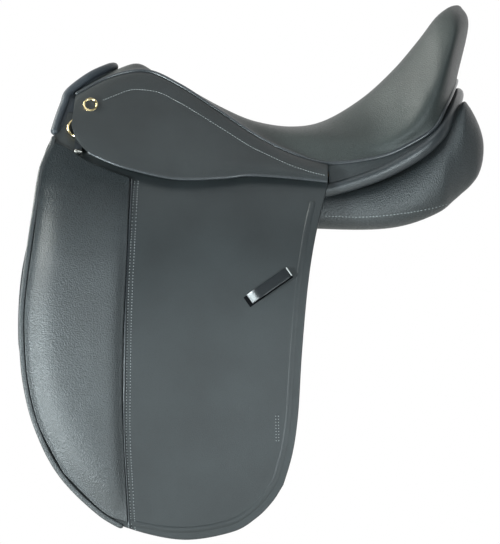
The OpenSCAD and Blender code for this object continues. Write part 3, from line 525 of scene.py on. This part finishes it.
# Pressed line on the flaps
# A ridge of the flap's own leather, raised by a hot creasing iron. It runs a finger's breadth inside the
# rear and bottom edges of each flap.
def tube(name, path, wide, tall, across, steps, sides, square=1.0):
    # Cord of oval or squarer section with rounded ends along a path; across gives its sideways direction at s
    def place(u, v):
        s = (1 - np.cos(math.pi * u)) / 2
        step = 0.002
        middle = along(path, s)
        way = along(path, np.minimum(s + step, 1)) - along(path, np.maximum(s - step, 0))
        a = np.cross(way, across(s))
        b = np.cross(a, way)
        a, b = [k / np.linalg.norm(k, axis=1, keepdims=True) for k in (a, b)]
        length = np.sum(np.linalg.norm(np.diff(along(path, np.linspace(0, 1, 200)), axis=0), axis=1))
        end = np.clip(length * np.minimum(s, 1 - s) / max(wide, tall), 0, 1)
        small = np.sqrt(1 - (1 - end) ** 2)[:, None]
        round_a, round_b = rounded(v, square)
        return middle + small * (wide * round_a[:, None] * a + tall * round_b[:, None] * b)
    return sheet_piece(name, steps, sides, place, weld=0.00005)


def upright(direction):
    return lambda s: np.tile(np.asarray(direction, float), (len(s), 1))


edge_line = along([(44.9, 28)] + flap_rear[2:] + flap_edge[-2:edge_turn:-1], np.linspace(0, 1, 70))
edge_way = np.gradient(edge_line, axis=0)
inwards = np.stack([edge_way[:, 1], -edge_way[:, 0]], 1) / np.linalg.norm(edge_way, axis=1, keepdims=True)
ridge_from_edge = 11
ridge_height = 3.1
ridge_l = tube("Flap_ridge_near", square_side(edge_line + ridge_from_edge * inwards, ridge_height),
               wide=5.0, tall=2.0, across=upright((0, 1, 0)), steps=170, sides=14)
dress_both(ridge_l, smooth_leather, "flap_")


# Knee pads
# Grained leather stuffed with shaped foam, sewn to the front third of the flap. The front edge is closed by
# a folded binding and the rear edge by a seam with a thin piped cord.
pad_top = [(-269, 101), (-252, 92), (-240, 83.5), (-212, 70), (-182, 58.5)]
pad_front = [(-269, 101), (-278, 83), (-286, 54.5)]
pad_foot = (-184, -343)
seam = [(-182, 58.5), (-182.5, 46), (-185, -26), (-190, -140), (-190, -220), pad_foot]
pad_edge = pad_front + [tuple(p) for p in inset(flap_edge, 6.7)[1:edge_turn + 2]] + [pad_foot]
pad_back = 5.0
pad_rim = 8.6
pad_swell = 10.6


def pad_flat(u, v):
    turn = len(pad_edge) - 3
    return patch(pad_top, pad_edge[turn:], pad_edge[:turn + 1], seam, u, v)


def gap_to(flat, line):
    # Distance of each point from the nearest place on a line
    near = along(line, np.linspace(0, 1, 240))
    return np.sqrt(((flat[:, None] - near[None]) ** 2).sum(2)).min(1)


def pad_outer(u, v):
    # The stuffing swells away from the front edge, the seam and the top
    flat = pad_flat(u, v)
    swell = 1 - np.exp(-(np.maximum(gap_to(flat, pad_edge) - 4, 0) / 17) ** 1.6)
    swell = swell * (1 - np.exp(-(gap_to(flat, seam) / 11) ** 1.3))
    swell = swell * (0.25 * ease(v / 0.06) + 0.75 * ease((v - 0.06) / 0.24))
    # Fine creases across the upper part, where the pad bends with the flap
    folds = (np.sin(flat[:, 1] / 3.1 + flat[:, 0] / 13) + np.sin(flat[:, 1] / 4.7 - flat[:, 0] / 21)) / 6
    folds = folds * ease((v - 0.06) / 0.06) * ease((0.3 - v) / 0.12)
    return on_side(flat, pad_rim + folds + pad_swell * swell)


def pad_free(p):
    # Part of the pad that the stuffing may blow up: its face, away from the seam and the bend of the flap
    face_height = 9.5
    seam_clear, seam_fade = -198, 25
    bend_clear, bend_fade = 30, 30
    face = p[1] < on_side(np.array([(p[0], p[2])]), face_height)[0][1]
    clear_of_seam = min(1, max(0, (seam_clear - p[0]) / seam_fade))
    return face * clear_of_seam * min(1, max(0, (bend_clear - p[2]) / bend_fade))


pad_l = sheet_piece("Knee_pad_near", 56, 110, pad_outer, lambda u, v: on_side(pad_flat(u, v), pad_back))
round_rim(pad_l, 1.6)
puff_up(pad_l, pad_free, pressure=3.0, cap=0.0015)
# Its gloss fades with height: partly the polish of the rider's leg, partly painted shade under the skirt
pad_leather = leather("Pad leather", (0.021, 0.0248, 0.0268), roughness=0.4, scale=620.0, depth=0.0009,
                      pebbles=0.6, gloss=0.85, polish_and_shade=(-0.04, 0.06))
dress_both(pad_l, pad_leather, None, ["knee_pad_", "knee_pad_head_"],
           bend=bend_at_flap)


# Knee pad bindings and seam piping
# A folded strip of thin leather sewn over the front edge of the flap and the pad together, and a thin piped
# cord let into the seam along the pad's rear edge.
front_edge = along(flap_edge, np.linspace(0, 1, 160))
binding_end = -183
front_edge = front_edge[front_edge[:, 0] < binding_end]
binding_head = [(-270.5, 107), (-274, 95), (-283, 76), (-288, 54)]
binding_line = np.concatenate([binding_head, inset(front_edge, 3.2)[6::6]])
binding_height = 4.6
binding_l = tube("Knee_binding_near", on_side(along(binding_line, np.linspace(0, 1, 40)), binding_height),
                 wide=3.1, tall=4.6, across=upright((0, 1, 0)), steps=150, sides=28, square=0.5)
dress_both(binding_l, grain_leather, None, ["knee_binding_"], bend=bend_at_flap)
shiny_leather = leather("Polished leather", (0.03, 0.034, 0.038), roughness=0.22, scale=1200.0, depth=0.0001,
                        pebbles=0.3, gloss=0.5, shine=0.4)
piping_line = np.array([(-178.8, 57), (-179.7, 49), (-182.2, 0), (-186.2, -84), (-187.6, -154),
                        (-188.2, -236), (-185.3, -295), (-182.6, -342), (-182, -350.5)])
piping_height = 5.2
piping_l = tube("Pad_piping_near", on_side(piping_line, piping_height), wide=1.5, tall=1.7,
                across=upright((0, 1, 0)), steps=130, sides=12)
dress_both(piping_l, shiny_leather, None, bend=bend_at_flap)


# Skirts
# Small smooth flaps sewn into the welt that cover the stirrup bars, blocked to a swelling shape and stitched
# through near the top. The lower edge is rolled to a polished lip.
welt_line = [(-246, 157), (-205, 178), (-163, 184.7), (-124, 168), (-80, 139.5), (-34, 109), (8, 88),
             (50, 76)]
hinge = np.array([(-249, 128), (50, 68)], float)
skirt_bottom = [(-246, 106), (-231, 89), (-212, 80), (-184, 70), (-128, 58), (-72, 59), (-41, 62), (6, 59),
                (50, 54.5)]
skirt_front = [tuple(hinge[0]), (-250, 121), (-246, 106)]
skirt_thick = 3.2
welt_lap = 1.6


def skirt_place(depth):
    # The upper half runs from the welt out to the hinge line, the lower half from there to the edge
    start = 2
    front_reach, rear_less = 15, 6
    swell = 1.5

    def place(u, v):
        up, down = np.clip(2 * v, 0, 1), np.clip(2 * v - 1, 0, 1)
        crease = hinge[0] * (1 - u[:, None]) + hinge[1] * u[:, None]
        upper = (along(welt_line, u) - (0, welt_lap)) * (1 - up[:, None]) + crease * up[:, None]
        lower = patch(hinge, skirt_bottom, skirt_front, [tuple(hinge[1]), skirt_bottom[-1]], u, down)
        reach = front_reach - rear_less * u
        out = np.where(v < 0.5, start + (reach - start) * np.sqrt(up), reach + swell * np.sin(math.pi * down))
        return on_side(np.where(v[:, None] < 0.5, upper, lower), out + skirt_thick - depth)
    return place


def bend_at_skirt(piece, side):
    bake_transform(piece)


skirt_l = sheet_piece("Skirt_near", 110, 72, skirt_place(0), skirt_place(skirt_thick))
round_rim(skirt_l, 1.45, 4)
dress_both(skirt_l, smooth_leather, None, ["skirt_", "skirt_head_"], bend=bend_at_skirt)
lip_flat = along(skirt_bottom[1:], np.linspace(0, 1, 80))
lip_front = 16.6
lip_height = lip_front - (lip_flat[:, 0] - hinge[0][0]) / 50
lip_l = tube("Skirt_lip_near", on_side(lip_flat, lip_height), wide=1.9, tall=2.1,
             across=upright((0, 1, 0)), steps=200, sides=12)
dress_both(lip_l, shiny_leather, None, bend=bend_at_skirt)


# Seat foam and seat cover
# A moulded foam seat over the webbing, with one piece of smooth leather drawn wet over it and over the
# cantle, and sewn all round into the welt.
# Stations from the pommel to the back: centre line, crest of the dip, rim, welt, and the axis it draws in to
seat_stations = [
    ((-197, 187), (-203, 22, 185), (-222, 44, 175), None, (-214, 128)),
    ((-172, 193), (-174, 17, 193.5), (-184, 33, 188), None, (-190, 130)),
    ((-146, 179), (-150, 16, 181), (-156, 30, 184), None, (-150, 125)),
    ((-112, 158), (-114, 20, 160), (-118, 38, 166), None, (-110, 105)),
    ((-74, 138), (-75, 28, 140), (-78, 54, 144), None, (-75, 88)),
    ((-34, 123), (-34, 38, 125.5), (-34, 72, 123), None, (-34, 70)),
    ((8, 116), (8, 44, 119.5), (8, 86, 112), None, (8, 55)),
    ((46, 121), (46, 50, 126), (48, 98, 110), None, (46, 50)),
    ((90, 143), (91, 54, 151), (104, 114, 108), (112, 125, 83.5), (90, 66)),
    ((126, 171), (128, 55, 184), (140, 119, 122), (150, 122, 100), (126, 92)),
    ((155, 206), (157, 50, 218), (166, 114, 154), (175, 117, 117), (152, 120)),
    ((175, 233), (177, 46, 245), (188, 100, 194), (187, 100, 139), (172, 150)),
    ((187.5, 251), (191.5, 36, 257.4), (203, 75, 228), (196, 66, 158), (184, 178)),
    ((195, 258.4), (201.5, 18, 261), (213, 36, 238), (201, 28, 170), (189, 192)),
    ((200, 262.2), (207.8, 0, 259.8), (216, 0, 238), (202, 0, 174), (190, 195))]
welt_height = 3.6
welt_points = on_side(np.asarray(welt_line, float), welt_height) * (1, -1, 1)
rails = [np.array([(s[0][0], 0, s[0][1]) for s in seat_stations], float),
         np.array([s[1] for s in seat_stations], float), np.array([s[2] for s in seat_stations], float),
         np.concatenate([welt_points, [s[3] for s in seat_stations[len(welt_line):]]]),
         np.array([(s[4][0], 0, s[4][1]) for s in seat_stations], float)]


def seat_place(depth, reach):
    # Half sections from the centre line over crest and rim to the welt, the same on both sides
    over_welt = (0, 0, 1.2)

    def place(u, v):
        t = (len(seat_stations) - 1) * u
        centre, crest, rim, welt, axis = [through(np.concatenate([rail, rail[-2:-1] * (1, -1, 1)]), t)
                                          for rail in rails]
        welt = welt + over_welt
        line = np.stack([crest * (1, -1, 1), centre, crest, rim, welt, 2 * welt - rim])
        w = 3 * reach * np.abs(1 - 2 * v)
        i = np.minimum(np.floor(w).astype(int), 2)
        f = (w - i)[:, None]
        a, b, c, d = [line[i + k, np.arange(len(u))] for k in range(4)]
        p = b + 0.5 * f * ((c - a) + f * ((2 * a - 5 * b + 4 * c - d) + f * (3 * b - a - 3 * c + d)))
        inward = axis - p
        p = p + inward * (depth(t) / np.linalg.norm(inward, axis=1))[:, None]
        p[:, 1] *= np.sign(1 - 2 * v)
        return p
    return place


cover_thick = 2.0
glue_gap = 0.6
foam_thick = 16
foam_reach = 0.875


def foam_depth(t):
    # Thin at the pommel, full in the dip and thinner again up the cantle
    return cover_thick + glue_gap + foam_thick * (0.3 + 0.7 * ease((t - 0.5) / 4) - 0.6 * ease((t - 7) / 3))


foam, shader = material("Cover foam", (0.62, 0.55, 0.33), 0.9)
pores = add_node(foam, "TexVoronoi", [("Vector", object_place(foam))], Scale=900.0)
tint(foam, shader, pores.outputs["Distance"], (0.4, 0.34, 0.2), (0.66, 0.6, 0.38))
relief(foam, shader, pores.outputs["Distance"], strength=0.6, depth=0.0006)
foam_top = seat_place(lambda t: cover_thick + glue_gap + 0 * t, foam_reach)
seat_foam = sheet_piece("Cover_foam", 56, 40, foam_top, seat_place(foam_depth, foam_reach), weld=0.00002)
dress(seat_foam, foam, "saddle", ["seat_foam"])
seat = sheet_piece("Saddle_cover", 168, 96, seat_place(lambda t: 0 * t, 1),
                   seat_place(lambda t: cover_thick + 0 * t, 1), weld=0.00002)
round_rim(seat, 0.9)
seat_leather = leather("Cover leather", (0.03, 0.0355, 0.034), roughness=0.42, scale=700.0, depth=0.0005,
                       pebbles=0.5, gloss=0.42)
dress(seat, seat_leather, "saddle", ["seat_cover"])


# Seat welt, pommel facing, gore, front lining and rear roll
# Cords wrapped in leather: the welt is caught in the seam round the seat, the facing binds the front of the
# pommel, and the stuffed roll fills the corner between the seat and the panels at the back. Behind the facing
# a narrow gore closes the gap to the seat, and a thin lining hides the tree head.
def both_sides(points):
    points = np.asarray(points, float)
    return np.concatenate([points * (1, -1, 1), points[-2::-1]])


welt = tube("Cover_welt", both_sides(rails[3]), wide=2.3, tall=2.3, across=upright((0, 0, 1)), steps=240,
            sides=14)
dress(welt, shiny_leather, "saddle", ["seat_welt"])
facing_low = on_side(np.array([(-271, 110), (-265.5, 128), (-259, 146)], float), 3) * (1, -1, 1)
facing_line = np.concatenate([facing_low, [(-253, 62, 160), (-229, 45, 178.5), (-208, 22, 188.5),
                                           (-201, 0, 190)]])
facing = tube("Pommel_facing", both_sides(facing_line), wide=5, tall=5, across=upright((1, 0, 0)), steps=150,
              sides=20)
facing_leather = leather("Facing leather", (0.036, 0.043, 0.052), roughness=0.42, scale=900.0, depth=0.0004,
                         pebbles=0.4, gloss=0.45)
dress(facing, facing_leather, "saddle", ["pommel_facing"])
gore_low = on_side(np.array([(-246, 112), (-243, 130), (-242, 150)], float), 1) * (1, -1, 1)
gore_line = np.concatenate([gore_low, [(-240, 54, 158), (-217, 41, 172.5), (-199, 20, 182), (-192, 0, 185)]])
head_line = np.array([(-200, 98, 102), (-198, 92, 110), (-197, 84, 122), (-196, 66, 142), (-196, 46, 157.5),
                      (-196, 22, 163), (-196, 0, 164)], float)


def gore_place(lines, depth):
    # A strip from line to line, each drawn from the low end on one side to the middle of the pommel
    def place(u, v):
        t = v * (len(lines) - 1)
        i = np.minimum(t.astype(int), len(lines) - 2)
        f = (t - i)[:, None]
        across = np.stack([along(line, 1 - np.abs(1 - 2 * u)) for line in lines])
        each = np.arange(len(u))
        p = across[i, each] * (1 - f) + across[i + 1, each] * f + (0.6 * depth, 0, -depth)
        p[:, 1] *= np.sign(2 * u - 1)
        return p
    return place


gore_thick = 2.0
gore = sheet_piece("Pommel_gore", 100, 8, gore_place([facing_line, gore_line], 0),
                   gore_place([facing_line, gore_line], gore_thick))
dress(gore, facing_leather, "saddle")
front_lines = [facing_line, facing_line + (-2.5, 0, -15), head_line]
front_thick = 1.4
front_lining = sheet_piece("Pommel_lining", 100, 12, gore_place(front_lines, 0),
                           gore_place(front_lines, front_thick))
dress(front_lining, dark_leather, "saddle")
roll_points = [(26, 127, 39), (52, 128, 44.5), (84, 129, 53.5), (120, 129.5, 67), (156, 127, 87),
               (179, 117, 107), (193, 92, 128), (201, 50, 147), (204, 0, 157)]


def round_the_back(s):
    turn = math.pi * (s - 0.5)
    return np.stack([np.cos(turn), np.sin(turn), 0 * s], 1)


roll = tube("Rear_roll", both_sides(roll_points), wide=8, tall=6.5, across=round_the_back, steps=170,
            sides=24)
roll_leather = leather("Roll leather", (0.022, 0.026, 0.029), roughness=0.3, scale=900.0, depth=0.0003,
                       pebbles=0.3, gloss=0.8)
dress(roll, roll_leather, "saddle", ["rear_roll"])


# Skirt tails
# Thin strips of the skirt's smooth leather that carry its lower edge on round the back. They are sewn
# between the welt and the rear roll.
def tail_place(shift):
    above_roll = (0, 0, 7.2)
    draw_in = 3

    def place(u, v):
        turn = math.pi / 2 * u
        outward = np.stack([np.sin(turn), np.cos(turn), 0 * u], 1)
        top = along(rails[3][len(welt_line) - 1:], u) - (0, 0, welt_lap) - 1.0 * outward
        foot = along(roll_points[1:], u) + above_roll - (2 + 2 * u[:, None]) * outward
        moved = (shift - draw_in * ease((u - 0.2) / 0.4))[:, None] * outward
        p = top * (1 - v[:, None]) + foot * v[:, None] + moved
        return p * (1, -1, 1)
    return place


half_tail = 1.6
tail_l = sheet_piece("Skirt_tail_near", 64, 8, tail_place(half_tail), tail_place(-half_tail))
round_rim(tail_l, 0.8)
dress_both(tail_l, smooth_leather, "saddle", ["skirt_tail_"])


# Stitching
# Waxed linen thread: one row through each skirt, two along the knee pad's seam with awl holes between the
# stitches, a dark one on the binding, one along each panel gusset and a short double row low on the flap.
bpy.ops.object.select_all(action="DESELECT")
bpy.ops.mesh.primitive_uv_sphere_add(segments=8, ring_count=6, radius=1)
stitch = bpy.context.object
stitch_points = np.array([tuple(v.co) for v in stitch.data.vertices])
stitch_faces = [tuple(f.vertices) for f in stitch.data.polygons]
bpy.data.objects.remove(stitch)


def sew(name, piece, line, pitch, length, width):
    # Casts the line, drawn as X and Z, on to the near side of a piece and lays a stitch at each step
    bpy.context.view_layer.update()
    dense = np.asarray(line, float)
    total = np.sum(np.linalg.norm(np.diff(along(dense, np.linspace(0, 1, 400)), axis=0), axis=1))
    count = int(total / pitch)
    hits = []
    for x, z in along(dense, np.linspace(0, 1, count + 1)):
        found, spot, normal = piece.ray_cast(Vector((x / 1000, -1, z / 1000)), Vector((0, 1, 0)))[:3]
        if found:
            hits.append((1000 * np.array(spot), np.array(normal)))
    points, faces = [], []
    for k in range(len(hits) - 1):
        spot, up = (hits[k][0] + hits[k + 1][0]) / 2, hits[k][1] + hits[k + 1][1]
        way = hits[k + 1][0] - hits[k][0]
        # No stitch spans a step in the surface
        if np.linalg.norm(way) > 3 * pitch:
            continue
        up, way = up / np.linalg.norm(up), way / np.linalg.norm(way)
        side = np.cross(up, way)
        size = stitch_points * (length / 2, width / 2, width / 3)
        faces += [tuple(i + len(points) for i in f) for f in stitch_faces]
        points += list(0.001 * (spot + 0.1 * width * up + size @ np.stack([way, side, up])))
    mesh = bpy.data.meshes.new(name)
    mesh.from_pydata([tuple(p) for p in points], [], faces)
    sewn = bpy.data.objects.new(name, mesh)
    bpy.context.collection.objects.link(sewn)
    return sewn


def thread_material(name, colour):
    made, shader = material(name, colour, 0.6)
    twist = add_node(made, "TexWave", [("Vector", object_place(made))], [("bands_direction", "DIAGONAL")],
                     Scale=700.0)
    tint(made, shader, twist.outputs["Fac"], tuple(0.6 * c for c in colour), colour)
    return made


pale_thread = thread_material("Pale thread", (0.4, 0.43, 0.43))
dull_thread = thread_material("Dull thread", (0.29, 0.31, 0.315))
black_thread = thread_material("Black thread", (0.012, 0.013, 0.015))
skirt_line = [(-214.1, 149.8), (-202.4, 154.4), (-183.7, 161.5), (-169.7, 162.6), (-147.4, 159.1),
              (-128.7, 149.8), (-110, 139.2), (-72.5, 115.8), (-41, 95.9), (-24.6, 87.8), (5.9, 73.7),
              (30.4, 65.5), (47, 61.5)]
gusset_line = [(46, 14), (97, 13), (157, 20), (198, 31), (212, 42)]
box_line = np.array([(-13, -218), (-12.4, -250)])
binding_row = inset(front_edge, 5.3)[5:]
flap_pitch = 3.4
for side in "lr":
    rows = [(sew("Skirt_stitches_near", skirt_l, skirt_line, pitch=3.2, length=2.0, width=0.85),
             pale_thread, bend_at_skirt),
            (sew("Binding_stitches_near", binding_l, binding_row, flap_pitch, length=1.8, width=0.9),
             black_thread, bend_at_flap),
            (sew("Panel_stitches_near", panel_l, gusset_line, pitch=4.0, length=2.6, width=0.9),
             pale_thread, None)]
    # The awl holes lie half a pitch on from the stitches
    for number, across in enumerate((2.9, 7.3)):
        for name, thread, on_by, length in (("stitches", dull_thread, 0, 1.7),
                                            ("holes", black_thread, flap_pitch / 2, 1.8)):
            seam_row = piping_line + (across, on_by - 2)
            box_row = box_line + (0.7 * across, on_by)
            rows += [(sew(f"Pad_seam_{name}_{number}_near", flap_l, seam_row, flap_pitch, length, width=1.2),
                      thread, bend_at_flap),
                     (sew(f"Flap_box_{name}_{number}_near", flap_l, box_row, flap_pitch, length, width=1.1),
                      thread, bend_at_flap)]
    for sewn, thread, bend in rows:
        if side == "r":
            sewn.data.transform(Matrix.Scale(-1, 4, (0, 1, 0)))
            sewn.data.flip_normals()
            sewn.name = sewn.data.name = sewn.name.replace("near", "far")
        dress(sewn, thread, None if bend else "saddle")
        if bend:
            bend(sewn, side)


# Keeper straps
# A short polished strap set slantwise over the flap, with a near-black strip under it as its painted shadow.
# Its lower end dives through the flap, and a pale tube along the upper end's edge is a painted highlight.
keeper_x = -18.4
keeper_z = -67
keeper_turn = math.radians(35)
keeper_long = 57
keeper_wide = 12.6
keeper_thick = 2.6
keeper_foot = 4.9


def keeper_flat(p, q):
    # X and Z of a place p along and q across the slanting strap
    x = keeper_x + p * math.cos(keeper_turn) - q * math.sin(keeper_turn)
    return np.stack([x, keeper_z + p * math.sin(keeper_turn) + q * math.cos(keeper_turn)], 1)


def keeper_place(depth):
    # The strap rises from the flap at its lower end and is cut off short at its upper end
    rise = 6

    def place(u, v):
        near_end = np.sin(math.pi / 2 * np.clip(u / 0.3, 0, 1))
        far_end = np.sqrt(1 - (1 - np.clip((1 - u) / 0.05, 0, 1)) ** 2)
        flat = keeper_flat(keeper_long * (u - 0.5), keeper_wide * (0.5 - v))
        return on_side(flat, keeper_foot + rise * near_end * far_end - depth)
    return place


def shadow_strip_place(out):
    # Painted shadow: a near-black strip a little longer and wider than the strap, set lower, where the
    # strap's shadow falls
    shadow_long, shadow_wide = 61, 14

    def place(u, v):
        flat = keeper_flat(shadow_long * (u - 0.5) - 2.5, shadow_wide * (0.5 - v) - 1.3)
        return on_side(flat, out)
    return place


polished = leather("Keeper leather", (0.012, 0.0135, 0.015), roughness=0.2, scale=1200.0, depth=0.0001,
                   pebbles=0.3, gloss=0.5, shine=0.2)
# Near-black sheet for the strap's painted shadow on the flap
painted_shadow = leather("Painted keeper shadow", (0.003, 0.0033, 0.004), roughness=0.75, scale=900.0, depth=0.0002,
                    pebbles=0.3, gloss=0.05)
# Pale colour painted along the strap's upper edge as its highlight
painted_highlight = leather("Painted edge highlight", (0.42, 0.43, 0.42), roughness=0.35, scale=900.0, depth=0.0002, pebbles=0.2,
                gloss=0.5)
keeper_l = sheet_piece("Keeper_strap_near", 48, 10, keeper_place(0), keeper_place(keeper_thick))
round_rim(keeper_l, 0.4)
shadow_strip_l = sheet_piece("Keeper_backing_near", 16, 5, shadow_strip_place(keeper_foot), shadow_strip_place(3.9))
round_rim(shadow_strip_l, 0.3, 2)
# A thin pale tube across the upper end of the strap: a painted highlight
highlight_flat = keeper_flat(np.full(6, 28.0), np.linspace(-6, 6, 6))
highlight_height = 10.2
highlight_l = tube("Keeper_edge_near", on_side(highlight_flat, highlight_height), wide=0.7, tall=0.8,
              across=upright((0, 1, 0)), steps=16, sides=10)
for piece, made, nodes in ((keeper_l, polished, ["keeper_strap_"]), (shadow_strip_l, painted_shadow, []),
                           (highlight_l, painted_highlight, [])):
    dress_both(piece, made, "flap_", nodes)


# Studs, dee rings, chapes and front tabs
# Plated brass studs with a plain dark centre, cast brass dees held by sewn chapes, and a strap end with a
# folded nickel tip below each dee.
brass = metal("Plated brass", (0.83, 0.66, 0.36), roughness=0.2, grind=0.05)
nickel = metal("Nickel", (0.75, 0.74, 0.7), roughness=0.22, grind=0.06)
enamel, shader = material("Dark enamel", (0.02, 0.02, 0.018), 0.25)
specks = add_node(enamel, "TexNoise", [("Vector", object_place(enamel))], Scale=1500.0)
relief(enamel, shader, specks.outputs["Fac"], strength=0.15, depth=0.0002)
enamel_radius = 0.0062
stud_back = Vector((0.003, 0, 0))
stud_sunk = 0.0012
stud_lean = 0.8
tip_size = (0.0092, 0.0042, 0.007)
tip_height = 7.2
for side, sign in (("l", -1), ("r", 1)):
    bpy.ops.object.select_all(action="DESELECT")
    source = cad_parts["saddle_stud_" + side]
    low, high = [Vector(corner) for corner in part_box("saddle_stud_" + side)]
    bpy.ops.mesh.primitive_cylinder_add(vertices=64, radius=0.0086, depth=0.0055, end_fill_type="NGON")
    stud = bpy.context.object
    stud.name = stud.data.name = "Stud_" + ("near" if side == "l" else "far")
    bpy.ops.object.mode_set(mode="EDIT")
    bpy.ops.mesh.select_all(action="DESELECT")
    bpy.ops.object.mode_set(mode="OBJECT")
    for face in stud.data.polygons:
        face.select = face.normal.z > 0.9
    bpy.ops.object.mode_set(mode="EDIT")
    bpy.ops.mesh.inset(thickness=0.0004)
    bpy.ops.mesh.inset(thickness=0.0013)
    bpy.ops.mesh.inset(thickness=0.0004, depth=-0.0008)
    bpy.ops.mesh.inset(thickness=0.003, depth=0.0003)
    bpy.ops.object.mode_set(mode="OBJECT")
    points = np.array([tuple(v.co) for v in source.data.vertices])
    spread = np.linalg.svd(points - points.mean(0))[2]
    # The stud stands square to its place in the frame and is then leaned towards the side
    facing_out = Vector(spread[2]) * (1 if spread[2][1] * sign > 0 else -1)
    spot = (low + high) / 2 + stud_back - stud_sunk * facing_out
    facing_out = (facing_out + Vector((0, stud_lean * sign, 0))).normalized()
    stud.data.transform(Matrix.Translation(spot) @ facing_out.to_track_quat("Z", "Y").to_matrix().to_4x4())
    round_rim(stud, 0.25, 2)
    dress(stud, brass, "saddle", ["saddle_stud_" + side])
    stud.data.materials.append(enamel)
    for face in stud.data.polygons:
        gap = face.center - spot
        face.material_index = 1 if (gap - gap.dot(facing_out) * facing_out).length < enamel_radius else 0
    finish_node("dee_ring_" + side, brass)
    finish_node("dee_chape_" + side, dark_leather)
    finish_node("front_tab_" + side, dark_leather)
    bpy.ops.object.select_all(action="DESELECT")
    bpy.ops.mesh.primitive_cube_add(size=1)
    tip = bpy.context.object
    tip.name = tip.data.name = "Tab_tip_" + ("near" if side == "l" else "far")
    tip.data.transform(Matrix.Diagonal((*tip_size, 1)))
    lean = Matrix.Rotation(-sign * math.atan(upper_fall), 4, "X")
    spot = 0.001 * on_side(np.array([(-242.0, 88.5)]), tip_height)[0]
    tip.data.transform(Matrix.Translation((spot[0], -sign * spot[1], spot[2])) @ lean)
    round_rim(tip, 0.8)
    dress(tip, nickel, "saddle")


# Stage
# A pale studio floor under the saddle, white surroundings, soft lights from above, from the front and from
# the near side, and a camera with a long lens that looks square at the near side.
floor_height = -0.41
bpy.ops.object.select_all(action="DESELECT")
bpy.ops.mesh.primitive_plane_add(size=3, location=(0, 0, floor_height))
floor = bpy.context.object
floor.name = "Floor"
pale, shader = material("Pale floor", (0.9, 0.9, 0.9), 0.9)
dust = add_node(pale, "TexNoise", [("Vector", object_place(pale))], Scale=40.0)
tint(pale, shader, dust.outputs["Fac"], (0.89, 0.89, 0.89), (0.91, 0.91, 0.91))
floor.data.materials.append(pale)
floor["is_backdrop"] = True
scene = bpy.context.scene
world = bpy.data.worlds.new("Studio")
scene.world = world
world.use_nodes = True
rays = add_node(world, "LightPath")
sky = add_node(world, "TexCoord")
parts = add_node(world, "SeparateXYZ", [("Vector", sky.outputs["Generated"])])
depth = add_node(world, "MapRange", [("Value", parts.outputs["Y"])], From_Min=-0.2, From_Max=0.75, To_Min=0.0,
                 To_Max=1.0)
mirrored = add_node(world, "Math", [(0, rays.outputs["Is Glossy Ray"]), (1, depth.outputs["Result"])],
                    [("operation", "MULTIPLY")])
direct = add_node(world, "Math", [(0, rays.outputs["Is Camera Ray"]),
                                  (1, rays.outputs["Is Transmission Ray"])], [("operation", "MAXIMUM")])
seen = add_node(world, "Math", [(0, direct.outputs["Value"]), (1, mirrored.outputs["Value"])],
                [("operation", "MAXIMUM")])
plain = world.node_tree.nodes["Background"]
# Slightly warm behind the saddle, dim above it, cooler and dimmer behind the camera
sky_tone = two_tones(world, depth.outputs["Result"], (0.82, 0.95, 1.0), (0.98, 1.0, 0.92))
world.node_tree.links.new(sky_tone, plain.inputs["Color"])
level = add_node(world, "MapRange", [("Value", depth.outputs["Result"])], To_Min=0.2, To_Max=0.5)
shade = add_node(world, "MapRange", [("Value", parts.outputs["Z"])], From_Min=0.25, From_Max=0.95, To_Min=1.0,
                 To_Max=0.3)
total = add_node(world, "Math", [(0, level.outputs["Result"]), (1, shade.outputs["Result"])],
                 [("operation", "MULTIPLY")])
world.node_tree.links.new(total.outputs["Value"], plain.inputs["Strength"])
white = add_node(world, "Background", Color=(1, 1, 1, 1), Strength=1.0)
both = add_node(world, "MixShader", [("Fac", seen.outputs["Value"]), (1, plain.outputs["Background"]),
                                     (2, white.outputs["Background"])])
world.node_tree.links.new(both.outputs["Shader"], world.node_tree.nodes["World Output"].inputs["Surface"])
aim = Vector((-0.04, 0, 0))
for name, spot, size, power, colour in (
        ("Top light", (0.15, -0.75, 1.5), 0.9, 5, (0.92, 0.98, 1)),
        ("Front light", (-1.15, -1.15, -0.1), 0.35, 26, (0.86, 0.97, 1)),
        ("Side light", (0.5, -1.65, 0.1), 0.5, 14, (0.86, 0.97, 1)),
        ("Seat light", (-1.6, 0.0, 1.1), 0.8, 48, (0.97, 1, 0.94))):
    lamp = bpy.data.lights.new(name, "AREA")
    lamp.size = size
    lamp.energy = power
    lamp.color = colour
    held = bpy.data.objects.new(name, lamp)
    scene.collection.objects.link(held)
    held.location = spot
    held.rotation_euler = (aim - Vector(spot)).to_track_quat("-Z", "Y").to_euler()
    held.visible_camera = False
scene.view_settings.view_transform = "Standard"
lens = bpy.data.cameras.new("Camera")
lens.lens = 1400
lens.sensor_width = 36
lens.clip_end = 100
camera = bpy.data.objects.new("Camera", lens)
scene.collection.objects.link(camera)
camera.location = (-0.041, -24.9, -0.0515)
camera.rotation_euler = (math.pi / 2, 0, 0)
scene.camera = camera

low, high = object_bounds()
